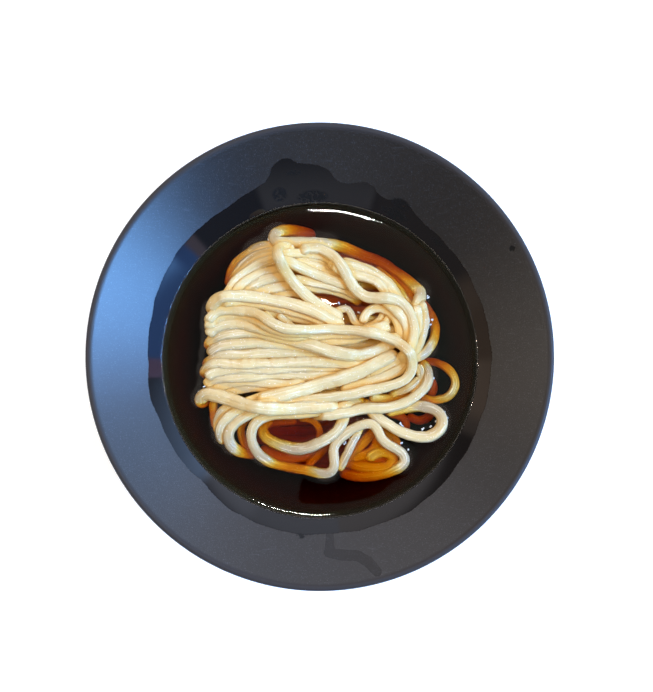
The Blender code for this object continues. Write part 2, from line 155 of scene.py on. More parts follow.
LOOSE_STRANDS = (
    Strand("top_loop", 6.6, (
        (-3, 70.4, -9), (-7.4, 72.4, -7.6), (-12.6, 73.6, -6.4), (-18, 74, -5), (-22.4, 73, -2.6),
        (-25.4, 70.8, -0.4), (-26, 67.8, 1), (-23.8, 66, 1.6), (-19.4, 65.6, 1.9), (-13.6, 65.8, 1.9),
        (-7.6, 66, 1.5), (-2, 66, 0.4), (3, 65.9, -1.2), (8.4, 65.4, -2.8), (13.6, 64, -4.6),
        (19.8, 61.8, -6.2), (26.4, 59.4, -7), (33.4, 56.6, -7.2), (40.4, 52.7, -6.8), (46.4, 48.4, -5.9),
        (51.2, 44, -5), (55, 40.5, -3.3), (57, 37.8, -0.4), (56.7, 35.3, 1.8), (55.4, 32.5, 3),
        (53.7, 29.1, 3.5), (51.7, 25.4, 2.8))),
    Strand("right_outer", 5.8, (
        (55.4, 33, -4.4), (57, 29.6, -1.9), (58.4, 25.6, 0), (58.9, 21.4, 1.2), (58.4, 17.2, 1.6),
        (57.2, 12.4, 1.8), (54.3, 7.6, 2), (50.6, 3, 2))),
    Strand("right_inner", 5.0, (
        (53.4, 30.6, -3.6), (54, 27, -0.8), (54.7, 23, 1.4), (55, 18.6, 2.5), (53.8, 13.2, 2.6),
        (50.6, 7.6, 2.4))),
    Strand("upper_left_a", 5.6, (
        (-21, 60.2, 2), (-27, 60.4, 1.6), (-33, 59.6, 1.2), (-38.4, 57.4, 0.6), (-43.4, 53.6, -0.4),
        (-47.4, 48.8, -2.6), (-50.2, 43.6, -5))),
    Strand("upper_left_b", 5.2, (
        (-20, 58, 2.6), (-27, 57.9, 2.2), (-33, 56.8, 1.9), (-38, 54.4, 1.5), (-43, 50.8, 0.4),
        (-46.6, 46.6, -1.8), (-49, 42, -5))),
    Strand("upper_left_f", 5.4, (
        (-9, 36.6, 1.2), (-14.4, 38, 1.6), (-20, 36.6, 1.9), (-27, 34.4, 1.8), (-34, 32.5, 1))),
    Strand("upper_left_e", 5.8, (
        (-14, 42, 2.4), (-19, 41.4, 2.8), (-25, 40.2, 2.7), (-31, 38.8, 2.4), (-37, 37.2, 2),
        (-43, 35, 1.2))),
    Strand("upper_left_d", 7.0, (
        (-15, 47.6, 3.2), (-21, 46.8, 3.6), (-28, 45.6, 3.7), (-34.6, 43.4, 3.4), (-40.6, 40.4, 2.8),
        (-46, 37.6, 1.6), (-51, 34.5, -1))),
    Strand("upper_left_c", 5.2, (
        (-17, 52, 2.8), (-23, 51.4, 3.2), (-29.4, 49.8, 3.2), (-35.4, 47.2, 3), (-40.8, 43.8, 2.6),
        (-45.4, 39.6, 1.6), (-48.6, 35, -0.6))),
    Strand("upper_left_long", 5.8, (
        (-18, 57, 3.6), (-24, 56, 4), (-30.4, 54.2, 4), (-36.4, 51.8, 3.7), (-42.2, 48.2, 3.2),
        (-46.8, 43.8, 2.4), (-49.9, 39.2, 1), (-51.6, 34.6, -2.4))),
    Strand("fan_low_a", 5.2, (
        (-14, 39.6, 1.2), (-8, 41, 1.8), (-1, 40, 2), (6, 39, 1.8), (12, 37.6, 1.2), (18, 35.6, 0.2),
        (23, 33, -4.5))),
    Strand("fan_low_b", 5.6, (
        (-15, 45, 2), (-8.6, 43.8, 2.4), (-2, 42.8, 2.5), (5, 41.4, 2.3), (12, 39.8, 1.8), (18, 38, 0.8),
        (23, 35.6, -4.5))),
    Strand("fan_a", 5.6, (
        (-21, 55.4, 2), (-14, 55.8, 2.4), (-8, 55.6, 2.6), (-1.6, 54.8, 2.6), (5, 53.2, 2.4), (11, 50.4, 2))),
    Strand("fan_b", 5.4, (
        (-22, 57, 2.2), (-14, 58.4, 2.6), (-8, 58.8, 2.8), (-2, 58, 2.8), (4, 56.4, 2.4), (9, 53.6, 2))),
    Strand("fan_c", 5.0, (
        (-14, 53.6, 2.6), (-8, 52.8, 3), (-2, 51.6, 3), (4, 49.6, 2.9), (9.6, 46.8, 2.5), (15, 43.2, 1.8))),
    Strand("fan_top", 5.8, (
        (-22, 54.4, 3.2), (-17, 52.8, 3.8), (-11.6, 50.6, 4), (-5, 48.2, 4), (2, 45.9, 3.9), (9, 43.5, 3.5),
        (16, 41, 2.4))),
    Strand("arc_rim", 4.6, (
        (12, 55.4, 0.4), (18, 54.2, 1), (24, 52.4, 1.4), (30.4, 49.6, 1.8), (36.4, 45.4, 2), (41, 40.6, 2),
        (44.4, 35.6, 2), (46.6, 30, 1.8))),
    Strand("arc_outer", 5.8, (
        (5, 52.8, 1.4), (11, 52.8, 2), (17, 51.8, 2.4), (23.4, 50.2, 2.6), (30, 47.4, 2.8), (35.4, 43.6, 3),
        (39.8, 39, 3), (43, 34, 3), (45.6, 28.6, 2.8))),
    Strand("arc_inner", 5.6, (
        (7, 51, 2.4), (13.6, 48.8, 3), (20, 47, 3.2), (26.6, 45.6, 3.4), (32.4, 42.6, 3.4), (36.4, 38, 3.4),
        (38.6, 32, 3))),
    Strand("squiggle", 3.9, (
        (2, 24.6, 1.6), (6, 25.8, 1.9), (9.4, 27.4, 2), (12.4, 29, 2), (15.2, 29.2, 2), (17.2, 27.4, 2),
        (18, 24.4, 2), (18.8, 21.8, 2), (21.2, 19.9, 2), (25, 19.2, 2), (29.4, 19.9, 1.8), (33, 22.6, 1.4),
        (35.4, 25.6, 0.9), (36.6, 28.6, 0.3))),
    Strand("bay_inner", 4.6, (
        (29, 14.6, 1), (32.4, 17.2, 1.6), (35.8, 20.2, 1.8), (38.6, 23.6, 1.4), (40.6, 27.6, 0.6))),
    Strand("bay_loop", 5.2, (
        (24, 20.4, 0.8), (24.4, 23, 1.6), (26, 26, 2.2), (28.8, 28.4, 2.8), (32.6, 29.2, 3.4),
        (37, 27.9, 3.8), (40.9, 24.8, 4), (43.4, 20.6, 4), (44.8, 15.6, 3.8), (45.4, 10, 3.2))),
    Strand("side_strand", 6.0, (
        (35.6, 34.4, 1.2), (37.6, 31.8, 2.4), (40.2, 29.2, 3.2), (43.4, 26.4, 3.8), (46.8, 22, 4),
        (48.5, 16.4, 3.8), (49, 10.4, 3.4), (48.4, 5, 2.8))),
    Strand("lower_left_far", 5.2, (
        (-46, -23, 2), (-50.6, -25.6, 1.6), (-54.6, -28.4, 1), (-57, -32, 0), (-57.8, -36.4, -1.6),
        (-57, -40.6, -3.6))),
    Strand("lower_left_outer", 6.4, (
        (-40, -25, 3), (-45.4, -28, 3), (-50.6, -31.6, 2.8), (-54.4, -35.6, 2.2), (-56.2, -39.6, 1.2),
        (-55.8, -43.2, -0.4), (-53.4, -46, -3))),
    Strand("lower_left_inner", 6.2, (
        (-33, -27.6, 3.2), (-38.6, -29.8, 3.3), (-43.8, -32.6, 3.2), (-48.4, -36.2, 2.6), (-51, -40.4, 1.8),
        (-51.2, -44.6, 0.8), (-49.4, -48.4, -0.8), (-45.6, -51, -3.2), (-40.6, -52.2, -5.4),
        (-36, -52.6, -7.4))),
    Strand("amber_loop", 6.6, (
        (-27, -32, -7), (-30.6, -34.8, -5), (-32.6, -38.4, -3.8), (-31.6, -42.2, -3.6), (-28, -45.4, -3.4),
        (-22.4, -47.8, -3.2), (-16, -49.4, -2.4), (-10.6, -49.6, -1), (-5.4, -48.2, 0.4), (0.4, -45.6, 1.4),
        (6, -42.6, 1.8), (10, -39.2, 2), (12.2, -35.4, 1.6), (13.4, -31.4, 1), (14, -27, 0.6))),
    Strand("short_bit", 4.6, (
        (10.6, -61.6, -2.6), (12.4, -58, -0.2), (14.6, -53.4, 1), (17, -48.8, 1.2), (19.6, -44.2, 0.8),
        (22, -40, -0.4), (23.6, -36, -2))),
    Strand("long_loop", 5.6, (
        (25, -22, -4.5), (21, -23.6, -1), (15.5, -25.2, 3.4), (8.5, -27.4, 3.6), (0.4, -28.8, 3.3),
        (-11, -29.6, 3), (-21, -30.2, 2.8), (-28.8, -31.2, 2.5), (-34.4, -33.6, 2.1), (-37.6, -37.6, 1.7),
        (-38.8, -42, 1.5), (-38.2, -46.6, 1.2), (-35.8, -51, 0.6), (-32, -54.8, -0.6), (-27, -57.6, -3.4),
        (-21, -59.4, -5.2), (-13, -60.8, -5.6), (-6.4, -61.8, -4.4), (-0.6, -63.2, -2), (3.6, -63.8, -0.2),
        (6.8, -62.4, 1), (8.2, -59, 1.5), (8, -54.6, 1.7), (7.6, -50.4, 1.4), (8.8, -46.6, 0.6),
        (12, -43, 0.4), (16.2, -40, 1), (20.8, -37.4, 1.7), (25.4, -35.7, 2.2), (29, -35.6, 2.3),
        (31.7, -38, 2.2), (33.2, -41.6, 2), (35.2, -44.9, 1.8), (38.8, -47.6, 1.8), (43, -49.8, 1.8),
        (46.6, -52.4, 1.4), (48, -55.6, 0), (46.2, -58.8, -2.2), (41.6, -61.8, -4), (35, -64, -4.6),
        (27, -65.3, -5.2), (19.2, -65, -6), (11.5, -62.4, -7.4))),
    Strand("right_thin_loop", 4.8, (
        (55, 0.4, -8), (60, 0.2, -7), (65, -0.8, -5.8), (70.6, -3, -4.2), (74.9, -7, -2.6), (76.6, -12, -1.7),
        (75.6, -17, -1.6), (72, -20.4, -2), (67.2, -21.8, -2.8), (62, -21.6, -3.6), (56.5, -20, -5))),
    Strand("lower_right_loop", 6.2, (
        (23.6, -22.6, -4.5), (25.8, -25, -3.3), (28.4, -27.6, 1.8), (32, -31.4, 2.8), (36.6, -34.9, 2.5),
        (42, -38.4, 2.2), (48, -41.2, 2), (54, -42.8, 1.9), (60, -42.9, 1.9), (65.2, -40.8, 1.9),
        (68.4, -37, 1.7), (68.8, -32.8, 1.2), (66.6, -29, 0.4), (62, -26.2, -0.8), (56, -25.4, -1.8),
        (50, -26.2, -2.4), (44, -27.6, -2.8), (37, -29.2, -3.3))),
    Strand("gap_c", 4.4, (
        (39, -19.6, -4.5), (43, -18.2, -0.6), (48.5, -15.8, 0.4), (53, -13, -0.6), (56, -10, -4.5))),
    Strand("right_arc", 6.0, (
        (-4, -30.4, -5.5), (1.5, -30.9, -3.3), (7, -30.4, 1.4), (15, -28.9, 3.1), (22.6, -27.4, 3.4),
        (30.5, -27.2, 3.4), (38, -26.4, 3.2), (45.6, -24.2, 3), (52.4, -20.8, 2.8), (57.6, -16.4, 2.6),
        (60.6, -11.6, 1.6), (61, -6.8, -0.2), (59.2, -3, -2.6), (55.6, -0.6, -5))),
)

HANK_STRANDS = (
    Strand("hank_low_a", 4.8, (
        (-54.5, -20.2, -1.5), (-50.9, -17.9, 0.6), (-44.4, -16, 1.3), (-37.4, -15.4, 1.6), (-28, -15.8, 1.7),
        (-18, -16.2, 1.7))),
    Strand("hank_low_b", 5.2, (
        (-42, -24.4, 1.2), (-36, -21.8, 1.7), (-28.6, -19.6, 2), (-21, -17.8, 2), (-12, -15.2, 2))),
    Strand("hank_low_c", 4.8, (
        (-38, 27.6, 0.6), (-30, 26.9, 0.9), (-20, 25.2, 1.2), (-10, 23, 1.4), (0, 20.8, 1.5))),
    Strand("hank_low_d", 3.8, ((-31.4, 26.6, 0.4), (-28.4, 23.6, 0.8), (-25, 20, 1), (-22, 17, 1))),
    Strand("hank_low_e", 3.6, ((-23.5, 25, 0.6), (-19.8, 22, 0.9), (-14.6, 18.2, 1))),
    Strand("hank_right_low", 5.6, (
        (12, -17.2, 2.2), (20, -14.4, 2.7), (29, -11.4, 3), (38, -8.6, 3), (45.4, -4.8, 3), (49, 1, 2.6))),
    Strand("hank_right_mid", 4.8, (
        (22, -12, -5), (26, -9.6, -3.4), (30.5, -6.9, 3.2), (38, -2.4, 3.9), (44.5, 0.4, 3.9),
        (48.4, 5, 3.2))),
    Strand("hank_11", 5.0, (
        (-62.4, -18.6, -1.5), (-59.4, -15.8, 0.8), (-54.9, -13.8, 1.6), (-47.4, -12.6, 2),
        (-37.4, -12.4, 2.2), (-27.4, -13, 2.2), (-17.4, -13.8, 2.2), (-8, -13, 2.2)), fold=True),
    Strand("hank_10", 5.4, (
        (-64, -14.4, -1), (-60.9, -11.2, 1.2), (-52.4, -9.6, 2.2), (-42.4, -9.4, 2.4), (-32.4, -9, 2.4),
        (-22.4, -8.5, 2.4), (-12.4, -8.6, 2.4), (-2.4, -8.7, 2.4), (6, -8.8, 2.2), (16, -9.4, 2))),
    Strand("hank_9", 5.4, (
        (-63.6, -9.8, -1), (-59.9, -7.2, 1.4), (-52.4, -5.8, 2.2), (-42, -5.9, 2.4), (-30, -5.6, 2.6),
        (-17.4, -4.8, 2.6), (-2.4, -4, 2.6), (8, -3.8, 2.4), (18, -3.8, 1.6), (25, -4.4, -0.8),
        (30, -5.4, -4.5))),
    Strand("hank_7", 6.0, (
        (-63, -1.8, -1), (-60, 0.6, 1.4), (-54, 2.6, 2.4), (-44.9, 2.9, 2.8), (-37.4, 3.1, 2.8),
        (-27, 3.9, 2.8), (-17.4, 3.8, 2.8), (-4.9, 2.6, 2.8), (6, 1.8, 2.6), (18, 0.4, 2.2)), fold=True),
    Strand("hank_6", 6.0, (
        (-62.6, 3.6, -1), (-59.6, 6.4, 1.4), (-53.4, 8.6, 2.4), (-44, 9.6, 2.8), (-32.4, 9.4, 3),
        (-17.4, 8.2, 3), (-4, 6.4, 3), (6, 4.4, 2.8), (16, 3, 2.4))),
    Strand("hank_5b", 5.0, (
        (-34, 14, 1.6), (-27, 13.4, 2.2), (-18, 12.2, 2.6), (-6, 10.9, 2.8), (8, 10.6, 2.6), (18, 11.6, 2.2),
        (26, 14, 1.6), (33, 17.6, 0.4), (38, 21, -4.5))),
    Strand("hank_5", 6.2, (
        (-62.6, 8.8, -1), (-59.9, 11.8, 1.4), (-54, 14, 2.4), (-45, 15.3, 2.9), (-36, 15.2, 3.2),
        (-27, 13.6, 3.4), (-18, 11.6, 3.6), (-9, 9.2, 3.8), (0, 6.2, 4), (8.5, 3.6, 4.2), (16.5, 2.2, 4.2),
        (24.6, 2.8, 4.2), (32.6, 5.6, 4), (39.4, 9.2, 3.6), (43.4, 13.6, 3)), fold=True),
    Strand("hank_4", 5.8, (
        (-62.4, 13.6, -1), (-59.6, 17, 1.4), (-52.8, 19.8, 2.6), (-44.3, 20, 3), (-36.8, 18.6, 3.2),
        (-29.3, 16, 3.3), (-19.3, 13.7, 3.3), (-6.8, 13.3, 3.3), (8.3, 14.2, 3.1), (20, 14.9, 2.7),
        (27, 16, 2), (33, 17, 0.6), (38, 19, -4.5))),
    Strand("hank_3", 6.2, (
        (-61.8, 19, -1), (-58.8, 22.6, 1.4), (-51.8, 24.7, 2.8), (-43.8, 24.4, 3.2), (-36.2, 22.4, 3.4),
        (-30.4, 19.4, 3.3), (-23, 16.4, 3), (-14, 15, 2.6), (-4, 16, 2.2)), fold=True),
    Strand("hank_ripple", 5.4, (
        (-65, -6.8, -1), (-62.6, -3.6, 1.4), (-57.4, -1.9, 2.8), (-49.9, -2.3, 3.4), (-39.9, -2.6, 3.6),
        (-27.4, -2, 3.6), (-14.9, -1.4, 3.6), (-2.4, -1, 3.6), (8, -1.4, 3.4), (18, -2, 2.8), (25, -2.6, 0.8),
        (30, -2.4, -3.6), (34, -1.6, -5.5)), fold=True, ripple=0.2),
    Strand("hank_ribbon", 7.0, (
        (-34, -22.6, 1.6), (-28, -21.4, 2.6), (-21.6, -19.9, 3.3), (-15, -18, 3.8), (-6.4, -15.7, 4),
        (2.6, -13, 4.2), (10.5, -10.8, 4.2), (18.5, -8, 4.2), (26.6, -4.4, 4.2), (34.6, -0.6, 4),
        (42.6, 3.6, 3.6))),
    Strand("hank_1b", 5.8, (
        (-61, 26, -2), (-58.8, 29.4, 1), (-53.8, 31.6, 2.8), (-44.3, 32.2, 2.6), (-35.8, 31.5, 3),
        (-26.8, 30.3, 3.6), (-16.8, 28, 3.6), (-8.3, 25.4, 3.6), (-0.8, 22.2, 3.4), (7, 18.8, 3))),
    Strand("hank_1", 6.0, (
        (-60.4, 28.6, -2), (-57.6, 32.4, 1.2), (-51.8, 34.5, 3), (-44.3, 34.9, 3.7), (-35.8, 34.3, 3.9),
        (-26.8, 33.1, 3.9), (-16.8, 31, 3.9), (-9.3, 28.7, 3.9), (-1.8, 25.6, 3.9), (5.8, 22.2, 3.7),
        (13, 18.8, 3.2)), fold=True),
)

TOP_STRANDS = (
    Strand("top_sweep", 6.2, (
        (-13, 59.6, -5.5), (-10, 60.7, -3.6), (-6.8, 61.4, 0.4), (-3, 61.6, 3.2), (1, 61.2, 4.8),
        (4.6, 59, 5.4), (8.4, 55.8, 5.9), (11.5, 51.4, 6.2), (14.2, 47, 6.4), (16.7, 43, 6.6),
        (19.5, 39.2, 6.6), (23, 36.1, 6.6), (27, 34.4, 6.6), (33, 33.8, 6.6), (39, 33.6, 6.6),
        (44.4, 31.9, 6.4), (48, 28.5, 6), (50.6, 24.4, 5.6), (52.2, 19.2, 5), (52.2, 13, 4.4),
        (50.8, 7.6, 3.4), (48.4, 3.2, 0.6), (45.6, 0, -3.8), (42.4, -3, -5.6))),
    Strand("top_hook", 6.0, (
        (-16.6, 57.6, -6), (-16.4, 60, -3.5), (-18.2, 61.8, 3.6), (-21.6, 61.4, 5.9), (-23.4, 58.4, 6.3),
        (-22.6, 54.6, 6.6), (-20.6, 50.6, 6.9), (-17.8, 46.4, 7), (-14.4, 42.2, 7), (-10.6, 38.4, 6.8),
        (-6.4, 35, 6.2), (-1.8, 31.8, 5.5), (2.8, 28.7, 4.8), (7.8, 26, 4), (12.6, 23.6, 3))),
    Strand("top_hairpin", 5.6, (
        (-61.8, 22, -1.4), (-59, 25.8, 1.6), (-53.3, 27.6, 3.6), (-44.6, 27, 5), (-38, 26.2, 6),
        (-32.6, 23.8, 6.6), (-28.6, 20.7, 6.9), (-24.6, 18, 7), (-19.7, 15.9, 7), (-14.8, 15.3, 7),
        (-9.9, 15.4, 7), (-3, 16.2, 7.2), (4.9, 16.6, 7.2), (11.8, 16.6, 7.2), (19.7, 15.9, 7.2),
        (25.6, 14.6, 7.2), (29.6, 13.8, 7.2), (34.5, 12.8, 7.2), (39.4, 10.9, 7.2), (45.3, 7, 7),
        (49.2, 2.4, 6.8), (50.8, -2.6, 6.6), (50.3, -7.4, 6.6), (47.2, -11.2, 6.6), (42.2, -13.8, 6.8),
        (35.8, -15.4, 7), (28.3, -16.9, 7), (21.9, -18.4, 7), (13.8, -19.9, 6.6), (5.8, -20.8, 6),
        (-2.4, -21.8, 5.2), (-12.4, -23.2, 4.2), (-22.4, -24, 3.2), (-31, -24.4, 2.2),
        (-39, -26.5, 0.4)), fold=True),
    Strand("front_ribbon", 7.4, (
        (-66.8, -22.8, -1.6), (-66.4, -20.6, 1.6), (-63.8, -19.2, 3.4), (-59.4, -19.6, 4),
        (-52.4, -21.2, 4.4), (-44.9, -23.6, 4.6), (-37.4, -26, 4.6), (-29.9, -27.4, 4.6), (-22.4, -27.6, 4.6),
        (-12.4, -27, 4.2), (-2.4, -26.2, 3.2), (3, -25.7, 1.2), (8, -25, -3.4),
        (13, -24.2, -5.5)), fold=True),
)


def blur(values: np.ndarray, spread: float) -> np.ndarray:
    """Smooths a row of values and holds its ends.

    Args:
        values: One value or one point for each sample.
        spread: Standard deviation of the smoothing, in samples.

    Returns:
        The smoothed row, of the same length.
    """
    reach = min(int(3 * spread) + 1, len(values) - 1)
    steps = np.arange(-reach, reach + 1)
    weights = np.exp(-0.5 * (steps / spread) ** 2)
    weights /= weights.sum()
    before = 2 * values[0] - values[reach:0:-1]
    after = 2 * values[-1] - values[-2:-reach - 2:-1]
    padded = np.concatenate((before, values, after))
    if values.ndim == 1:
        return np.convolve(padded, weights, "valid")
    columns = [np.convolve(column, weights, "valid") for column in padded.T]
    return np.stack(columns, axis=1)


@dataclass(frozen=True)
class Wander:
    """Slow random change along a strand.

    Attributes:
        size: About how large it gets, each way.
        length: Distance over which it is felt, in millimetres.
        seed: Keeps it apart from a strand's other changes.
    """

    size: float
    length: float
    seed: int = 0

    def along(self, number: int, run: np.ndarray) -> np.ndarray:
        """The change at each distance along a strand.

        Args:
            number: The strand's number.
            run: The distances.

        Returns:
            One value for each distance.
        """
        row = 7.3 * (number + self.seed)
        values = [1.6 * noise.noise(Vector((place / self.length, row, 0.5))) for place in run]
        return self.size * np.array(values)


def headings(points: np.ndarray) -> np.ndarray:
    """The unit direction along a row of points, at each of them."""
    ahead = np.gradient(points, axis=0)
    return ahead / np.maximum(np.linalg.norm(ahead, axis=1, keepdims=True), 1e-6)


def leftward(points: np.ndarray) -> np.ndarray:
    """The level unit direction to the left of a row of points, at each of them."""
    ahead = headings(points[:, :2])
    return np.stack((-ahead[:, 1], ahead[:, 0]), axis=1)


def from_axis(places: np.ndarray) -> np.ndarray:
    """Each place's distance from the Z axis."""
    return np.hypot(places[:, 0], places[:, 1])


def search_tree(spots: Sequence[Sequence[float]]) -> kdtree.KDTree:
    """A tree that finds the nearest of the spots, by their numbers.

    Args:
        spots: The spots, each with three coordinates.

    Returns:
        The tree, ready for use.
    """
    tree = kdtree.KDTree(len(spots))
    for number, spot in enumerate(spots):
        tree.insert(spot, number)
    tree.balance()
    return tree


def even_samples(points: np.ndarray, step: float) -> np.ndarray:
    """Even samples of a smooth curve through a route's points.

    Args:
        points: The route's points, one row each.
        step: Distance between samples.

    Returns:
        The samples, one row each.
    """
    knots = np.vstack((2 * points[0] - points[1], points, 2 * points[-1] - points[-2]))
    times = np.concatenate(([0.0], np.cumsum(np.sqrt(np.linalg.norm(np.diff(knots, axis=0), axis=1)))))
    dense = []
    for index in range(1, len(knots) - 2):
        t0, t1, t2, t3 = times[index - 1:index + 3]
        p0, p1, p2, p3 = knots[index - 1:index + 3]
        t = np.linspace(t1, t2, CURVE_CUTS, endpoint=False)[:, None]
        a = p0 + (p1 - p0) * (t - t0) / (t1 - t0)
        b = p1 + (p2 - p1) * (t - t1) / (t2 - t1)
        c = p2 + (p3 - p2) * (t - t2) / (t3 - t2)
        d = a + (b - a) * (t - t0) / (t2 - t0)
        e = b + (c - b) * (t - t1) / (t3 - t1)
        dense.append(d + (e - d) * (t - t1) / (t2 - t1))
    curve = np.vstack(dense + [points[-1:]])
    run = np.concatenate(([0.0], np.cumsum(np.linalg.norm(np.diff(curve, axis=0), axis=1))))
    count = max(4, int(run[-1] / step) + 1)
    places = np.linspace(0.0, run[-1], count)
    return np.stack([np.interp(places, run, column) for column in curve.T], axis=1)


@dataclass
class LaidStrand:
    """A strand after it has come to rest, in millimetres from the broth's level.

    Attributes:
        layer: The part of the bundle that it belongs to.
        points: Samples of its middle line.
        widths: Its width at each sample.
        rolls: Its turn about its middle line at each sample, in radians.
        ends: Share of its size at each sample, below 1 where it rounds off.
        tone: A random number from 0 to 1 for its shade.
    """

    layer: Layer
    points: np.ndarray
    widths: np.ndarray
    rolls: np.ndarray
    ends: np.ndarray
    tone: float


class HeapMap:
    """Heights of what already lies in the bowl, on a square grid in millimetres."""

    def __init__(self, half: float = 90.0, cell: float = 0.5, floor: float = -40.0) -> None:
        """Makes an empty map.

        Args:
            half: Half the side of the square that the map covers.
            cell: Side of one grid cell.
            floor: Height where nothing lies yet.
        """
        self.half = half
        self.cell = cell
        count = int(2 * half / cell) + 1
        self.height = np.full((count, count), floor)

    def patch(self, x: float, y: float, half_width: float,
              half_depth: float) -> tuple[tuple[slice, slice], np.ndarray, np.ndarray]:
        """The grid cells that a strand covers at a place.

        Args:
            x: The place's x.
            y: The place's y.
            half_width: Half the strand's width.
            half_depth: Half its thickness.

        Returns:
            The slices of a square patch, True for its cells under the strand, and how far the strand
            bulges over its middle line at each cell.
        """
        spans, aways = [], []
        for middle in (x, y):
            low = max(0, int((middle - half_width + self.half) / self.cell))
            high = min(len(self.height), int((middle + half_width + self.half) / self.cell) + 2)
            spans.append(slice(low, high))
            aways.append(np.arange(low, high) * self.cell - self.half - middle)
        distance = np.hypot(aways[0][:, None], aways[1][None, :])
        bulge = half_depth * np.sqrt(np.clip(1 - (distance / half_width) ** 2, 0, 1))
        return tuple(spans), distance < half_width, bulge

    def rest_height(self, x: float, y: float, half_width: float, half_depth: float) -> float:
        """Height of a strand's middle line where it rests on the heap at a place."""
        cells, under, bulge = self.patch(x, y, half_width, half_depth)
        return float((self.height[cells] + bulge)[under].max())

    def cover(self, x: float, y: float, z: float, half_width: float, half_depth: float) -> None:
        """Raises the map to the top of a strand's middle at a place."""
        cells, under, bulge = self.patch(x, y, half_width, half_depth)
        self.height[cells] = np.where(under, np.maximum(self.height[cells], z + bulge), self.height[cells])

    def at(self, places: np.ndarray) -> np.ndarray:
        """Heights of the map at places, which are rows of x and y."""
        cells = ((places[:, :2] + self.half) / self.cell).round().astype(int)
        return self.height[tuple(np.clip(cells, 0, len(self.height) - 1).T)]

    def widened(self, reach: float) -> "HeapMap":
        """The greatest heights near each cell, softened.

        Args:
            reach: Distance over which heights count.

        Returns:
            The new map.
        """
        grown = HeapMap(self.half, self.cell)
        steps = int(reach / self.cell)
        best = self.height.copy()
        for shift_x in range(-steps, steps + 1):
            for shift_y in range(-steps, steps + 1):
                if math.hypot(shift_x, shift_y) <= steps:
                    best = np.maximum(best, np.roll(self.height, (shift_x, shift_y), (0, 1)))
        grown.height = blur(blur(best, steps / 2).T, steps / 2).T
        return grown


def divided(outline: Sequence[Pair], longest: float) -> list[Pair]:
    """Adds points to an outline so that no step is too long.

    Args:
        outline: Its points in order.
        longest: The longest step.

    Returns:
        The outline's points and the new ones.
    """
    points = [outline[0]]
    for (x0, z0), (x1, z1) in zip(outline, outline[1:]):
        cuts = int(math.hypot(x1 - x0, z1 - z0) / longest) + 1
        points += [(x0 + (x1 - x0) * cut / cuts, z0 + (z1 - z0) * cut / cuts) for cut in range(1, cuts + 1)]
    return points


def spun(name: str, outline: Sequence[Pair], steps: int, longest: float) -> bpy.types.Object:
    """Turns a half section about the Z axis.

    Args:
        name: Name of the new object.
        outline: Points (radius, height) from the axis round to the axis.
        steps: Steps of the full turn.
        longest: Longest edge that the half section keeps.

    Returns:
        The turned object, closed and with its faces outwards.
    """
    shape = bmesh.new()
    corners = [shape.verts.new((radius, 0.0, height)) for radius, height in divided(outline, longest)]
    for first, second in zip(corners, corners[1:]):
        shape.edges.new((first, second))
    section = shape.verts[:] + shape.edges[:]
    bmesh.ops.spin(
        shape, geom=section, cent=(0, 0, 0), axis=(0, 0, 1), angle=2 * math.pi, steps=steps, use_merge=True)
    return finished(name, welded(shape, TINY))


def welded(shape: bmesh.types.BMesh, reach: float) -> bmesh.types.BMesh:
    """Merges a shape's doubles and turns its faces outwards.

    Args:
        shape: The shape, which is changed.
        reach: Distance under which points are doubles.

    Returns:
        The same shape.
    """
    bmesh.ops.remove_doubles(shape, verts=shape.verts[:], dist=reach)
    bmesh.ops.recalc_face_normals(shape, faces=shape.faces[:])
    return shape


def placed(name: str, data: bpy.types.ID) -> bpy.types.Object:
    """Makes an object and links it to the scene.

    Args:
        name: Its name.
        data: Its mesh, curve, lamp or camera.

    Returns:
        The object.
    """
    item = bpy.data.objects.new(name, data)
    bpy.context.scene.collection.objects.link(item)
    return item


def finished(name: str, shape: bmesh.types.BMesh) -> bpy.types.Object:
    """Makes a smooth shaded object of a bmesh and frees it.

    Args:
        name: Name of the object.
        shape: The bmesh.

    Returns:
        The object, linked to the scene.
    """
    for face in shape.faces:
        face.smooth = True
    mesh = bpy.data.meshes.new(name)
    shape.to_mesh(mesh)
    shape.free()
    return placed(name, mesh)


def positions(item: bpy.types.Object) -> np.ndarray:
    """The places of an object's vertices.

    Args:
        item: The object.

    Returns:
        The places, one row each.
    """
    flat = np.empty(3 * len(item.data.vertices))
    item.data.vertices.foreach_get("co", flat)
    return flat.reshape(-1, 3)


def store(item: bpy.types.Object, name: str, values: np.ndarray) -> None:
    """Keeps a number or a place for each vertex as an attribute that materials read.

    Args:
        item: The object.
        name: Name of the attribute.
        values: One number or one row for each vertex.
    """
    kind, key = ("FLOAT", "value") if values.ndim == 1 else ("FLOAT_VECTOR", "vector")
    layer = item.data.attributes.new(name, kind, "POINT")
    layer.data.foreach_set(key, values.astype(np.float32).ravel())


def attach(item: bpy.types.Object, node: str, material: bpy.types.Material) -> None:
    """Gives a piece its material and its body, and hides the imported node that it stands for.

    Args:
        item: The piece.
        node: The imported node.
        material: The material.
    """
    item.data.materials.clear()
    item.data.materials.append(material)
    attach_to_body(item, BODY)
    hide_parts(node)
    log.info("%s: %d faces", item.name, len(item.data.polygons))


def arc(centre: Pair, radius: float, start: float, end: float, steps: int) -> list[Pair]:
    """Points of an arc in the turning plane, with angles from the +X direction.

    Args:
        centre: Its centre.
        radius: Its radius.
        start: Angle of its first point in radians.
        end: Angle of its last point.
        steps: Steps between them.

    Returns:
        The points in order.
    """
    points = []
    for step in range(steps + 1):
        angle = start + (end - start) * step / steps
        points.append((centre[0] + radius * math.cos(angle), centre[1] + radius * math.sin(angle)))
    return points


@dataclass(frozen=True)
class Grain:
    """A pattern of soft grains.

    Attributes:
        scale: How fine it is.
        low: Value of the pattern where a grain starts.
        high: Value where the grain is whole.
        detail: How ragged the grains are.
    """

    scale: float
    low: float
    high: float
    detail: float = 2.0


